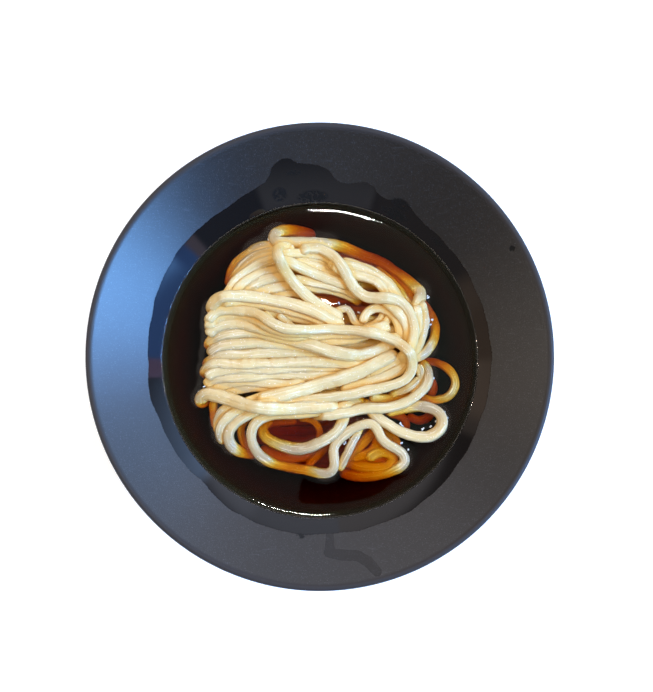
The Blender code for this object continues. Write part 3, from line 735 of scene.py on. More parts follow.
class NodeBoard:
    """Short ways to add and join the nodes of a material or a node group."""

    def __init__(self, tree: bpy.types.NodeTree) -> None:
        """Works on a node tree."""
        self.tree = tree

    def join(self, value: object, target: Socket) -> None:
        """Joins a socket to an input, or sets a value there.

        Args:
            value: The socket or the value.
            target: The input.
        """
        if isinstance(value, Socket):
            self.tree.links.new(value, target)
        else:
            target.default_value = value

    def fill(self, made: bpy.types.Node, inputs: dict) -> None:
        """Joins sockets to a node's inputs, or sets values there, by name or number."""
        for name, value in inputs.items():
            self.join(value, made.inputs[name])

    def node(self, kind: str, inputs: dict | None = None, **settings: object) -> bpy.types.Node:
        """Adds a node.

        Args:
            kind: The node's type name.
            inputs: Values or sockets for its inputs, by name or number.
            settings: Its own settings, by name.

        Returns:
            The new node.
        """
        made = self.tree.nodes.new(kind)
        for name, value in settings.items():
            setattr(made, name, value)
        self.fill(made, inputs or {})
        return made

    def object_place(self) -> Socket:
        """The place on the piece, in the frame's metres."""
        return self.node("ShaderNodeTexCoord").outputs["Object"]

    def stored(self, name: str, output: str = "Fac") -> Socket:
        """What the mesh keeps for each vertex under a name."""
        return self.node("ShaderNodeAttribute", attribute_name=name).outputs[output]

    def maths(self, operation: str, *values: object) -> Socket:
        """One sum of numbers or sockets."""
        inputs = dict(enumerate(values))
        return self.node("ShaderNodeMath", inputs, operation=operation).outputs[0]

    def times(self, first: object, second: object) -> Socket:
        """Two numbers or sockets multiplied."""
        return self.maths("MULTIPLY", first, second)

    def one_less(self, value: Socket) -> Socket:
        """What is left of 1 without a share."""
        return self.maths("SUBTRACT", 1.0, value)

    def vectors(self, operation: str, *values: object) -> bpy.types.bpy_prop_collection:
        """The results of one sum of places or colours."""
        inputs = dict(enumerate(values))
        return self.node("ShaderNodeVectorMath", inputs, operation=operation).outputs

    def scaled(self, value: object, share: object) -> Socket:
        """A colour made brighter or darker by a share."""
        return self.node("ShaderNodeVectorMath", {0: value, "Scale": share}, operation="SCALE").outputs[0]

    def noise(self, place: Socket, scale: object, detail: object) -> Socket:
        """A soft random pattern."""
        inputs = {"Vector": place, "Scale": scale, "Detail": detail}
        return self.node("ShaderNodeTexNoise", inputs).outputs["Fac"]

    def ramp(self, value: Socket, low: object, high: object) -> Socket:
        """A soft step from 0 at low to 1 at high."""
        inputs = {"Value": value, "From Min": low, "From Max": high}
        return self.node("ShaderNodeMapRange", inputs, interpolation_type="SMOOTHSTEP").outputs["Result"]

    def within(self, value: Socket, reach: float, soft: float) -> Socket:
        """A soft step from 1 below a reach to 0 beyond it."""
        return self.ramp(self.times(value, -1.0), -reach - soft, -reach + soft)

    def mixed(self, share: object, first: object, second: object, mode: str = "MIX") -> Socket:
        """A mix of two colours, or of two sockets of colour.

        Args:
            share: Share of the second.
            first: The first colour or socket.
            second: The second colour or socket.
            mode: How they are mixed.

        Returns:
            The mixed colour.
        """
        made = self.node("ShaderNodeMix", data_type="RGBA", blend_type=mode)
        sockets = {socket.identifier: socket for socket in (*made.inputs, *made.outputs)}
        self.join(share, sockets["Factor_Float"])
        for name, value in (("A_Color", first), ("B_Color", second)):
            self.join((*value, 1.0) if isinstance(value, tuple) else value, sockets[name])
        return sockets["Result_Color"]

    def speckle(self, grain: Grain) -> Socket:
        """A mask from the shared grain group, which many finishes use."""
        inputs = {"Place": self.object_place(), **{key.title(): value for key, value in vars(grain).items()}}
        return self.node("ShaderNodeGroup", inputs, node_tree=grain_group()).outputs["Mask"]

    def clouded(self, colour: Colour, grain: Grain, share: float) -> Socket:
        """A colour with soft patches where only a share of its brightness is left."""
        return self.mixed(self.speckle(grain), colour, tuple(share * part for part in colour))

    def bump(self, shader: bpy.types.Node, relief: Socket, strength: float, depth: float) -> None:
        """Gives a shader and its coat the small relief of a pattern.

        Args:
            shader: The Principled shader.
            relief: The pattern.
            strength: How strongly it shows.
            depth: Its depth in metres.
        """
        made = self.node("ShaderNodeBump", {"Strength": strength, "Distance": depth, "Height": relief})
        normal = made.outputs["Normal"]
        self.fill(shader, {"Normal": normal, "Coat Normal": normal})


def grain_group() -> bpy.types.NodeTree:
    """The node group that gives a mask of soft grains, made on first use.

    Returns:
        The node group.
    """
    name = "soft_grain"
    if name in bpy.data.node_groups:
        return bpy.data.node_groups[name]
    tree = bpy.data.node_groups.new(name, "ShaderNodeTree")
    tree.interface.new_socket("Place", in_out="INPUT", socket_type="NodeSocketVector")
    for label in ("Scale", "Low", "High", "Detail"):
        tree.interface.new_socket(label, in_out="INPUT", socket_type="NodeSocketFloat")
    tree.interface.new_socket("Mask", in_out="OUTPUT", socket_type="NodeSocketFloat")
    board = NodeBoard(tree)
    given = board.node("NodeGroupInput").outputs
    pattern = board.noise(given["Place"], given["Scale"], given["Detail"])
    board.node("NodeGroupOutput", {"Mask": board.ramp(pattern, given["Low"], given["High"])})
    return tree


def new_material(name: str) -> tuple[bpy.types.Material, NodeBoard, bpy.types.Node]:
    """Starts a material.

    Args:
        name: The material's name.

    Returns:
        The material, its board of nodes and its Principled shader.
    """
    material = bpy.data.materials.new(name)
    material.use_nodes = True
    board = NodeBoard(material.node_tree)
    return material, board, material.node_tree.nodes["Principled BSDF"]


@dataclass(frozen=True)
class GlazeFinish:
    """Satin charcoal glaze with fine speckle and scratches, glossy where a film of broth wets it, and
    lightened by painted light under deep broth.
    """

    colour: Colour = (0.0100, 0.0080, 0.0068)
    fleck: Colour = (0.075, 0.075, 0.080)
    pit: Colour = (0.004, 0.004, 0.004)
    scratch: Colour = (0.060, 0.062, 0.068)
    wet_colour: Colour = (0.008, 0.0065, 0.0058)
    # Painted light: warm brown that lightens the glaze under deep broth, standing in for light scattered in
    # the broth.
    pool_colour: Colour = (0.100, 0.055, 0.030)
    rim_colour: Colour = (0.026, 0.019, 0.016)
    rim_worn: float = 0.8
    foot_colour: Colour = (0.16, 0.13, 0.105)
    roughness: float = 0.36
    wet_roughness: float = 0.05
    refraction: float = 1.36
    satin_refraction: float = 1.44
    satin_roughness: float = 0.31
    worn_roughness: float = 0.35
    pool_reach: float = 22 * MM
    drip_share: float = 0.45
    edge_shiver: float = 0.6 * MM
    shiver_scale: float = 900.0
    drip_edge: float = 0.2 * MM
    film_edge: float = 0.12 * MM
    bead_grain: Grain = Grain(620.0, 0.36, 0.48, 3.0)
    bead_edge: float = 0.35
    pit_grain: Grain = Grain(950.0, 0.66, 0.73, 1.0)
    pit_share: float = 0.8
    fleck_grain: Grain = Grain(1900.0, 0.60, 0.74, 1.0)
    fleck_share: float = 0.6
    grain_scale: float = 2200.0
    scratch_share: float = 0.3
    scratch_edge: Pair = (0.72, 0.78)
    scratch_stretch: tuple[float, float, float] = (90.0, 1500.0, 90.0)
    scratch_ways: tuple[Pair, ...] = ((0.5, 0.0), (-0.9, 3.0), (1.7, 7.0))
    bump_strength: float = 0.6
    bump_height: float = 0.14 * MM

    def material(self) -> bpy.types.Material:
        """Builds the glaze.

        Returns:
            The material. It reads the attributes wet, drip, bead, pool, rim and foot.
        """
        material, board, shader = new_material("charcoal_glaze")
        place = board.object_place()
        shiver = board.noise(place, self.shiver_scale, 1.0)
        edge = board.maths("MULTIPLY_ADD", shiver, self.edge_shiver, -self.edge_shiver / 2)
        run = board.ramp(board.maths("ADD", board.stored("drip"), edge), -self.drip_edge, self.drip_edge)
        full = board.ramp(board.maths("ADD", board.stored("wet"), edge), -self.film_edge, self.film_edge)
        patch = board.ramp(board.stored("bead"), 0.0, self.bead_edge)
        bead = board.times(patch, board.speckle(self.bead_grain))
        covered = board.maths("MAXIMUM", full, board.times(run, self.drip_share))
        dry = board.one_less(board.maths("MAXIMUM", covered, bead))
        film = board.times(covered, board.one_less(bead))
        rim, foot = board.stored("rim"), board.stored("foot")

        pits = board.times(board.speckle(self.pit_grain), self.pit_share)
        flecks = board.times(board.speckle(self.fleck_grain), self.fleck_share)
        ground = board.mixed(flecks, board.mixed(pits, self.colour, self.pit), self.fleck)
        scratched = board.times(self.scratches(board, place), self.scratch_share)
        worn = board.mixed(rim, board.mixed(scratched, ground, self.scratch), self.rim_colour)
        bare = board.mixed(foot, worn, self.foot_colour)
        # Painted light under the broth: the deeper the pool, the closer the glaze comes to the warm brown.
        pool = board.ramp(board.stored("pool"), 0.0, self.pool_reach)
        under = board.mixed(pool, self.wet_colour, self.pool_colour)
        spotted = board.mixed(bead, bare, self.pit)
        worn_share = board.maths("MAXIMUM", foot, rim)
        satin = board.maths("MULTIPLY_ADD", worn_share, self.worn_roughness, self.roughness)
        gloss = board.node(
            "ShaderNodeMapRange", {"Value": film, "To Min": satin, "To Max": self.wet_roughness})
        unworn = board.maths("MULTIPLY_ADD", rim, -self.rim_worn, 1.0)
        grain = board.times(board.noise(place, self.grain_scale, 2.0), dry)
        board.bump(shader, grain, self.bump_strength, self.bump_height)
        board.fill(shader, {
            "Base Color": board.mixed(film, spotted, under), "Roughness": gloss.outputs["Result"],
            "Coat Weight": board.times(dry, unworn), "IOR": self.refraction,
            "Coat IOR": self.satin_refraction, "Coat Roughness": self.satin_roughness})
        return material

    def scratches(self, board: NodeBoard, place: Socket) -> Socket:
        """A mask of short fine scratches, from grain drawn out in three directions.

        Args:
            board: The glaze's board of nodes.
            place: The place on the bowl.

        Returns:
            The mask, 1 on a scratch.
        """
        marks = []
        for turn, seed in self.scratch_ways:
            drawn = board.node("ShaderNodeMapping", {
                "Vector": place, "Rotation": (0.0, 0.0, turn), "Location": (seed, 0.0, 0.0),
                "Scale": self.scratch_stretch})
            line = board.noise(drawn.outputs["Vector"], 1.0, 1.0)
            marks.append(board.ramp(line, *self.scratch_edge))
        return board.maths("MAXIMUM", board.maths("MAXIMUM", marks[0], marks[1]), marks[2])


@dataclass(frozen=True)
class BrothFinish:
    """Clear dark soy broth, amber where it is thin and black where it is deep."""

    refraction: float = 1.335
    roughness: float = 0.02
    thinning: float = 950.0
    colour: Colour = (0.879, 0.684, 0.0)

    def material(self) -> bpy.types.Material:
        """Builds the broth: clear liquid with absorption, which lets lamps through.

        Returns:
            The material.
        """
        material, board, shader = new_material("soy_broth")
        board.fill(shader, {"Base Color": WHITE, "Roughness": self.roughness, "IOR": self.refraction,
                            "Transmission Weight": 1.0})
        output = material.node_tree.nodes["Material Output"]
        shadow = board.node("ShaderNodeLightPath").outputs["Is Shadow Ray"]
        clear = board.node("ShaderNodeBsdfTransparent")
        both = board.node("ShaderNodeMixShader", {
            0: shadow, 1: shader.outputs["BSDF"], 2: clear.outputs["BSDF"]})
        depth = board.node(
            "ShaderNodeVolumeAbsorption", {"Color": (*self.colour, 1.0), "Density": self.thinning})
        board.fill(output, {"Surface": both.outputs["Shader"], "Volume": depth.outputs["Volume"]})
        return material


@dataclass(frozen=True)
class NoodleFinish:
    """Boiled wheat noodle: cream, a little clear at the surface, stained and darkened with painted shade in
    the creases, with a painted glow in the deep creases and painted glints.
    """

    cream: Colour = (0.735, 0.520, 0.232)
    pale: Colour = (0.415, 0.284, 0.148)
    streak: Colour = (0.84, 0.650, 0.385)
    # Crease colour: partly broth soaked into the creases, partly painted shade where strands press together.
    stain: Colour = (0.70, 0.425, 0.125)
    # Painted glow: amber light that the deepest creases give off, standing in for light through the noodles;
    # glow is its strength.
    seep: Colour = (1.0, 0.52, 0.08)
    soaked: Colour = (0.70, 0.43, 0.15)
    glow: float = 0.085
    # Painted highlight: tiny pale glints mixed into the colour.
    glint: Colour = (0.98, 0.93, 0.82)
    scatter: float = 0.12
    scatter_reach: Colour = (1.0, 0.8, 0.6)
    depth: float = 0.5 * MM
    raised: Pair = (1.0 * MM, 5.5 * MM)
    under: Pair = (-2.5 * MM, -0.3 * MM)
    tone_span: Pair = (0.10, 0.92)
    mottle_grain: Grain = Grain(240.0, 0.35, 0.75, 3.0)
    mottle_share: float = 0.16
    streak_edge: Pair = (0.50, 0.72)
    streak_share: float = 0.7
    stain_share: float = 0.85
    coat: float = 0.6
    coat_edge: Pair = (0.1, 0.5)
    coat_roughness: float = 0.08
    coat_refraction: float = 1.35
    glint_grain: Grain = Grain(1100.0, 0.68, 0.75, 1.0)
    glint_share: float = 0.55
    roughness: float = 0.28
    refraction: float = 1.33
    shine: float = 0.2
    fine_scale: float = 1400.0
    swell_scale: float = 260.0
    swell_share: float = 3.0
    line_share: float = 3.5
    bump_strength: float = 0.7
    bump_height: float = 0.22 * MM

    def material(self, level: float) -> bpy.types.Material:
        """Builds the noodle.

        Args:
            level: Height of the broth, near which strands are duller.

        Returns:
            The material. It reads the attributes tone, crease and strand.
        """
        material, board, shader = new_material("boiled_noodle")
        place = board.object_place()
        height = board.node("ShaderNodeSeparateXYZ", {0: place}).outputs["Z"]
        raised = board.ramp(height, *(level + edge for edge in self.raised))
        under = board.ramp(height, *(level + edge for edge in self.under))
        base = board.mixed(raised, board.mixed(under, self.soaked, self.pale), self.cream)
        tone = board.maths("MULTIPLY_ADD", board.stored("tone"), *self.tone_span)
        grey = board.node("ShaderNodeCombineColor", {0: tone, 1: tone, 2: tone}).outputs[0]
        toned = board.mixed(1.0, base, grey, "MULTIPLY")
        mottled = board.mixed(
            board.times(board.speckle(self.mottle_grain), self.mottle_share), toned, self.pale)
        lines = board.noise(board.stored("strand", "Vector"), 1.0, 2.0)
        drawn = board.times(board.ramp(lines, *self.streak_edge), self.streak_share)
        lined = board.mixed(drawn, mottled, self.streak)
        depth = board.stored("crease")
        # Painted shade: creases darken towards the crease colour, together with the broth's stain.
        crease = board.times(depth, self.stain_share)
        # Painted highlight: pale glints scattered over the strands.
        painted_glints = board.times(board.speckle(self.glint_grain), self.glint_share)
        surface = board.mixed(painted_glints, board.mixed(crease, lined, self.stain), self.glint)
        # Painted glow from the deep creases, though the noodle is no lamp.
        glowing = board.mixed(board.maths("POWER", crease, 2.0), (0.0, 0.0, 0.0), self.seep)
        coat = board.times(board.one_less(board.ramp(depth, *self.coat_edge)), self.coat)

        fine = board.noise(place, self.fine_scale, 2.0)
        swell = board.noise(place, self.swell_scale, 2.0)
        relief = board.maths("MULTIPLY_ADD", swell, self.swell_share, fine)
        ridged = board.maths("MULTIPLY_ADD", lines, self.line_share, relief)
        board.bump(shader, ridged, self.bump_strength, self.bump_height)
        board.fill(shader, {
            "Base Color": surface, "Emission Color": glowing, "Emission Strength": self.glow,
            "Coat Weight": coat, "Coat Roughness": self.coat_roughness, "Coat IOR": self.coat_refraction,
            "Roughness": self.roughness, "IOR": self.refraction, "Specular IOR Level": self.shine,
            "Subsurface Weight": self.scatter, "Subsurface Radius": self.scatter_reach,
            "Subsurface Scale": self.depth})
        return material


@dataclass(frozen=True)
class FloorFinish:
    """Plain pale floor."""

    colour: Colour = (0.93, 0.92, 0.91)
    clouds: Grain = Grain(6.0, 0.3, 0.7)
    cloud_share: float = 0.985
    roughness: float = 0.8
    light: float = 0.35

    def material(self) -> bpy.types.Material:
        """Builds the floor's finish.

        Returns:
            The material.
        """
        material, board, shader = new_material("pale_floor")
        board.fill(shader, {
            "Base Color": board.clouded(self.colour, self.clouds, self.cloud_share),
            "Roughness": self.roughness, "Emission Color": WHITE, "Emission Strength": self.light})
        return material


@dataclass(frozen=True)
class Drip:
    """One stretch of a run of broth down the wall: places seen from above and half widths."""

    path: tuple[Pair, ...]
    halves: tuple[float, ...]


@dataclass
class Bowl:
    """A shallow conical bowl on a foot ring, with a film of broth on its wall.

    The film's edge is given as radii seen from above at angles from +X.
    """

    wall: float = 4 * MM
    slope: float = math.radians(37.4)
    floor_radius: float = 32 * MM
    floor_height: float = 12 * MM
    bend: float = 30 * MM
    foot_radius: float = 48 * MM
    foot_inner: float = 42 * MM
    foot_recess: float = 6.5 * MM
    foot_edge: float = 1 * MM
    wobbles: tuple[tuple[float, float, float], ...] = ((0.2, 23, 1.0), (0.12, 41, 0.0))
    slack: float = 0.01 * MM
    wall_reach: float = 3 * MM
    floor_share: float = 0.9
    bend_reach: float = 20 * MM
    worn_rim: Pair = (1.6 * MM, 1.2 * MM)
    worn_outside: float = 0.7
    bare_foot: float = 1.4 * MM
    steps: int = 432
    ring: float = 1.5 * MM
    bend_steps: int = 16
    rim_steps: int = 14
    edge_steps: int = 5
    film_radii: tuple[Pair, ...] = (
        (-90, 96.6), (-70, 97.0), (-58, 97.6), (-40, 96.4), (-20, 95.2), (0, 95.4), (20, 95.0), (40, 95.2),
        (52, 95.0), (56.7, 96.6), (59.3, 98.3), (62.3, 98.1), (67.4, 96.2), (70.3, 97.1), (72.4, 99.4),
        (75.1, 100.7), (78, 99.4), (80.2, 98.1), (83, 98.0), (85.5, 100.3), (87.1, 103.6), (90.4, 105.5),
        (93.3, 106.2), (96.8, 107.0), (98.4, 109.2), (100.4, 110.1), (102.2, 109.4), (104.4, 107.2),
        (105.3, 104.1), (107.3, 101.4), (110.8, 100.2), (116, 99.3), (124, 98.0), (135, 98.6), (150, 98.0),
        (165, 96.4), (176, 95.4), (185, 95.5), (193, 96.4), (203, 94.8), (214, 95.4), (225, 94.0),
        (240, 96.8), (255, 97.0), (262, 97.6), (270, 96.6))
    beads: tuple[tuple[float, float, float, float], ...] = (
        (92.6, 91.6, 6.6, 3.4), (62.9, 91.6, 6.4, 2.8), (62.3, 97.0, 4.0, 2.8), (103.6, 94.5, 3.0, 4.0),
        (98.0, 103.0, 3.0, 1.6), (45.0, 92.6, 3.0, 1.8), (29.4, 118.0, 1.0, 1.8), (-96.3, 98.2, 1.8, 1.6))
    drips: tuple[Drip, ...] = (
        Drip(((5.2, -92.0), (5.6, -99.0), (5.2, -105.5)), (2.0, 2.2, 2.8)),
        Drip(((4.4, -106.0), (12.0, -107.0), (20.5, -107.2), (26.0, -110.0), (30.5, -114.6)),
             (2.3, 2.8, 2.7, 2.9, 2.6)))

    def __post_init__(self) -> None:
        """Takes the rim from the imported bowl's box."""
        self.rim_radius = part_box("bowl")[1][0]

    def cone_radius(self, height: float) -> float:
        """Radius of the hollow's wall at a height.

        Args:
            height: The height over the table.

        Returns:
            The radius, as if the straight wall went on through the bend.
        """
        foot_x = self.floor_radius + self.bend * math.sin(self.slope)
        foot_z = self.floor_height + self.bend * (1 - math.cos(self.slope))
        return foot_x + (height - foot_z) / math.tan(self.slope)

    def hollow(self, offset: float) -> list[Pair]:
        """The hollow's floor and bend from the axis out.

        Args:
            offset: How far into the wall the points lie.

        Returns:
            The points (radius, height).
        """
        middle = (self.floor_radius, self.floor_height + self.bend)
        bend = arc(middle, self.bend + offset, -math.pi / 2, -math.pi / 2 + self.slope, self.bend_steps)
        return [(0.0, self.floor_height - offset)] + bend

    def outline(self) -> list[Pair]:
        """The half section: floor, wall, round rim, outside, foot ring and underside.

        Returns:
            The points (radius, height), from the axis round to the axis.
        """
        half = self.wall / 2
        rim_x = self.rim_radius - half
        inner_x = rim_x - half * math.sin(self.slope)
        foot = self.hollow(0.0)[-1]
        inner_z = foot[1] + (inner_x - foot[0]) * math.tan(self.slope)
        rim_z = inner_z - half * math.cos(self.slope)
        across = math.pi / 2 + self.slope
        rim = arc((rim_x, rim_z), half, across, across - math.pi, self.rim_steps)
        outer_z = rim[-1][1] - (rim[-1][0] - self.foot_radius) * math.tan(self.slope)
        edge = self.foot_edge
        outer_turn = arc((self.foot_radius - edge, edge), edge, 0.0, -math.pi / 2, self.edge_steps)
        inner_turn = arc((self.foot_inner + edge, edge), edge, -math.pi / 2, -math.pi, self.edge_steps)
        ring = [(self.foot_radius, outer_z)] + outer_turn + inner_turn + [(self.foot_inner, self.foot_recess)]
        return self.hollow(0.0) + rim + ring + [(0.0, self.foot_recess)]

    def turned(self, places: np.ndarray) -> tuple[np.ndarray, np.ndarray]:
        """Each place's radius in millimetres and its angle from +X in degrees."""
        return from_axis(places) / MM, np.degrees(np.arctan2(places[:, 1], places[:, 0]))

    def bead_share(self, places: np.ndarray) -> np.ndarray:
        """How far inside a patch of drying beads each place is.

        Args:
            places: Places on the bowl.

        Returns:
            One number for each place, up to 1 at a patch's middle.
        """
        radius, angle = self.turned(places)
        share = np.full(len(places), -1.0)
        for turn, middle, half_turn, half in self.beads:
            share = np.maximum(share, 1 - np.hypot((angle - turn) / half_turn, (radius - middle) / half))
        return share

    def film_depth(self, places: np.ndarray) -> np.ndarray:
        """How far inside the film of broth each place is.

        Args:
            places: Places on the bowl.

        Returns:
            One depth for each place in metres, negative outside.
        """
        radius, angle = self.turned(places)
        angle = np.where(angle < -90, angle + 360, angle)
        angles, radii = np.array(self.film_radii).T
        wobble = sum(size * np.sin(np.radians(angle) * waves + start) for size, waves, start in self.wobbles)
        return (np.interp(angle, angles, radii) + wobble - radius) * MM

    def drip_depth(self, places: np.ndarray) -> np.ndarray:
        """How far inside a run of broth down the wall each place is.

        Args:
            places: Places on the bowl.

        Returns:
            One depth for each place in metres, negative outside.
        """
        x, y = places[:, 0] / MM, places[:, 1] / MM
        depth = np.full(len(places), -9.0)
        for drip in self.drips:
            ends = np.array(drip.path)
            for start, end, half_a, half_b in zip(ends, ends[1:], drip.halves, drip.halves[1:]):
                run = end - start
                share = np.clip(((x - start[0]) * run[0] + (y - start[1]) * run[1]) / (run @ run), 0, 1)
                away = np.hypot(x - start[0] - share * run[0], y - start[1] - share * run[1])
                depth = np.maximum(depth, half_a + (half_b - half_a) * share - away)
        return depth * MM

    def build(self, finish: GlazeFinish) -> bpy.types.Object:
        """Turns the bowl and dresses it.

        Args:
            finish: The glaze.

        Returns:
            The bowl.
        """
        item = spun("glazed_bowl", self.outline(), self.steps, self.ring)
        places = positions(item)
        height = places[:, 2]
        radius = from_axis(places)
        inside = height > self.floor_height - self.slack
        inside &= np.abs(self.cone_radius(0) + height / math.tan(self.slope) - radius) < self.wall_reach
        low = height > self.floor_share * self.floor_height
        inside |= low & (radius < self.floor_radius + self.bend_reach)
        pool = self.cone_radius(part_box("broth")[1][2]) - radius
        for name, depth in (("wet", self.film_depth(places)), ("drip", self.drip_depth(places)),
                            ("bead", self.bead_share(places)), ("pool", pool)):
            store(item, name, np.where(inside, depth, -1.0))
        below, fade = self.worn_rim
        rim = np.clip((height - (height.max() - below)) / fade, 0, 1) * (radius > self.rim_radius - self.wall)
        store(item, "rim", np.maximum(rim, (radius > self.rim_radius - fade) * self.worn_outside))
        store(item, "foot", (height < self.bare_foot).astype(float))
        attach(item, "bowl", finish.material())
        return item


@dataclass(frozen=True)
class Block:
    """Rows of strands that lie side by side under the ones that show.

    Attributes:
        middle: Its middle, seen from above.
        half: Half its length along the rows and half its width across them.
        rows: Strands side by side.
        levels: Heights of its decks over the broth.
        points: Points on each strand's route.
        width: Least and greatest width of a strand.
        sway, lift: How far the points stray to each side, and up and down.
        bow, sag: How far a strand bows to one side, and how far its ends hang.
    """

    middle: Pair
    half: Pair
    rows: int
    levels: tuple[float, ...]
    points: int = 9
    width: Pair = (5.4, 6.4)
    sway: float = 1.6
    lift: float = 0.7
    bow: float = 3.0
    sag: float = 0.8

    def strands(self, draws: np.random.Generator, bundle: "NoodleBundle") -> list[Strand]:
        """The block's strands.

        Args:
            draws: Where random numbers come from.
            bundle: The bundle, which knows where the packing is pushed down.

        Returns:
            One strand for each row of each deck.
        """
        strands = []
        for deck, height in enumerate(self.levels):
            for row in range(self.rows):
                across = -1 + 2 * (row + 0.5) / self.rows
                reach = self.half[0] * math.sqrt(1 - across ** 2)
                places = np.linspace(-reach, reach, self.points)
                bow = self.bow * math.sin(0.9 * row + 2 * deck) * (places / 50)
                sway = draws.uniform(-self.sway, self.sway, self.points) + bow
                x = self.middle[0] + places
                y = self.middle[1] + across * self.half[1] + blur(sway, 1.0)
                lift = draws.uniform(-self.lift, self.lift, self.points)
                z = height + lift - self.sag * np.abs(places / self.half[0]) ** 3
                route = tuple(zip(x, y, z - bundle.sunk_by(x, y)))
                strands.append(Strand(f"packing_{deck}_{row}", draws.uniform(*self.width), route))
        return strands


@dataclass
class NoodleBundle:
    """All strands of the bundle, laid one on another over a smaller core.

    Attributes:
        depth_share: A strand's thickness as a share of its width.
        step: Distance between rings of a strand.
        touch_width: Share of a strand's width that rests on or carries others.
        touch_depth: Share of its thickness that stays where strands cross.
        sunk: Height under which an end dips between others and rests on nothing.
        fold_drop: How far under itself a folded strand ends.
        fold_run: Length of a folded strand's end that hangs free.
        free: Height of the heap where a strand rests on nothing.
        settling: Times that a strand settles on the heap.
        settled: Smoothing of its heights each time and at the end, in samples.
        pressed: How much wider strands lie where they are pressed side by side.
        tip_share, tip_least: Length of a rounded tip as a share of the width, and where it is cut flat.
        sway, swelling, rolling, rippling: Slow changes of course, width, turn and ripple.
        ripple_length, ripple_start: Distance between ripples, and the length of the smooth end.
        lean_reach, lean_share: How far to each side a strand feels the slope, and how much it follows.
        crease_start, crease_depth: Depth from which a crease is stained and given painted shade, and the
            further depth to full.
        crease_reach: Distance over which higher strands count.
        grain, grain_shift: How fine the grain is across, along and through a strand, and how far the
            grain of different strands lies apart.
        weld: Distance under which points of a tube merge.
        hollows: Middle, half lengths and depth of each place where broth shows between strands.
        core_half, core_middle: Half size and middle of the core.
    """

    depth_share: float = 0.72
    step: float = 0.9
    sides: int = 20
    packing_sides: int = 10
    pressed: float = 1.1
    touch_width: float = 0.56
    touch_depth: float = 0.82
    sunk: float = -3.2
    fold_drop: float = 6.5
    fold_run: float = 6.0
    free: float = -100.0
    smoothing: float = 2.0
    settling: int = 5
    settled: Pair = (4.0, 1.6)
    tip_share: float = 0.45
    tip_least: float = 0.12
    sway: tuple[Wander, ...] = (Wander(0.3, 10.0, 120), Wander(0.10, 3.0, 160))
    swelling: tuple[Wander, ...] = (Wander(0.09, 13.0), Wander(0.04, 3.2, 40))
    rolling: Wander = Wander(0.42, 22.0, 80)
    rippling: Wander = Wander(1.8, 9.0)
    ripple_length: float = 4.4
    ripple_start: float = 12.0
    lean_reach: float = 2.4
    lean_share: float = 0.35
    crease_start: float = 0.4
    crease_depth: float = 1.9
    crease_reach: float = 2.0
    grain: tuple[float, float, float] = (1.1, 1 / 16, 0.8)
    grain_shift: float = 90.0
    weld: float = 0.002 * MM
    blocks: tuple[Block, ...] = (
        Block((-5.0, 19.0), (50.0, 40.0), 15, (-10.0, -6.0, -2.2)),
        Block((0.0, -45.0), (40.0, 18.0), 7, (-11.0,)))
    hollows: tuple[tuple[float, ...], ...] = (
        (15.0, 31.0, 20.0, 7.0, 5.0), (28.0, 40.5, 9.0, 4.5, 2.0), (-20.0, 21.5, 11.0, 2.5, 2.0))
    core_half: tuple[float, float, float] = (50.0, 50.0, 11.0)
    core_middle: tuple[float, float, float] = (1.0, -2.0, -23.0)
    core_lumps: float = 0.10

    def __post_init__(self) -> None:
        """Takes the broth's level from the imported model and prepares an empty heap."""
        self.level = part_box("broth")[1][2]
        self.heap = HeapMap()
        self.draws = np.random.default_rng(20)
        self.laid: list[LaidStrand] = []

    def sunk_by(self, x: np.ndarray, y: np.ndarray) -> np.ndarray:
        """How far the packing is pushed down where broth shows between the strands.

        Args:
            x: The places' x.
            y: The places' y.

        Returns:
            One distance for each place.
        """
        down = np.zeros_like(x)
        for middle_x, middle_y, half_x, half_y, drop in self.hollows:
            reach = ((x - middle_x) / half_x) ** 2 + ((y - middle_y) / half_y) ** 2
            down = np.maximum(down, drop * np.clip(1.6 - reach, 0, 1))
        return down

    def folded(self, strand: Strand) -> np.ndarray:
        """The points of a strand's route, with a folded first end tucked under itself.

        Args:
            strand: The strand.

        Returns:
            The points, one row each.
        """
        route = np.array(strand.route, dtype=float)
        if not strand.fold:
            return route
        inward = (route[1] - route[0]) / np.linalg.norm(route[1] - route[0])
        under = route[0] + np.array((1.4 * inward[0] + 0.6, inward[1], -self.fold_drop))
        return np.vstack((under, route))

    def lay(self, strand: Strand, layer: Layer) -> None:
        """Lays one strand on the heap.

        Args:
            strand: The strand, with the route that it would take if nothing were in its way.
            layer: The part of the bundle that it belongs to.
        """
        number = len(self.laid)
        samples = blur(even_samples(self.folded(strand), self.step), self.smoothing)
        run = np.arange(len(samples)) * self.step
        sway = sum(part.along(number, run) for part in self.sway)
        samples[:, :2] += sway[:, None] * leftward(samples)
        ripples = 2 * math.pi * run / self.ripple_length + self.rippling.along(number, run)
        wave = strand.ripple * np.sin(ripples) * np.clip(run / self.ripple_start - 1, 0, 1)
        samples[:, 1] += 0.5 * wave
        pressed = self.pressed if layer is Layer.HANK else 1.0
        swelling = sum((part.along(number, run) for part in self.swelling), 1.0)
        widths = pressed * strand.width * swelling + wave
        half_widths = widths / 2 * self.touch_width
        half_depths = widths / 2 * self.depth_share * self.touch_depth
        self.settle(samples, half_widths, half_depths, strand.fold & (run < self.fold_run))
        for (x, y, z), half_width, half_depth in zip(samples, half_widths, half_depths):
            self.heap.cover(x, y, z, half_width, half_depth)
        tip = np.clip(np.minimum(run, run[-1] - run) / (self.tip_share * strand.width), self.tip_least, 1)
        ends = np.sqrt(1 - (1 - tip) ** 2)
        rolls = self.lean(samples) + self.rolling.along(number, run)
        tone = float(self.draws.uniform())
        self.laid.append(LaidStrand(layer, samples, widths, rolls, ends, tone))
        log.debug("%s: %.0f mm", strand.name, run[-1])

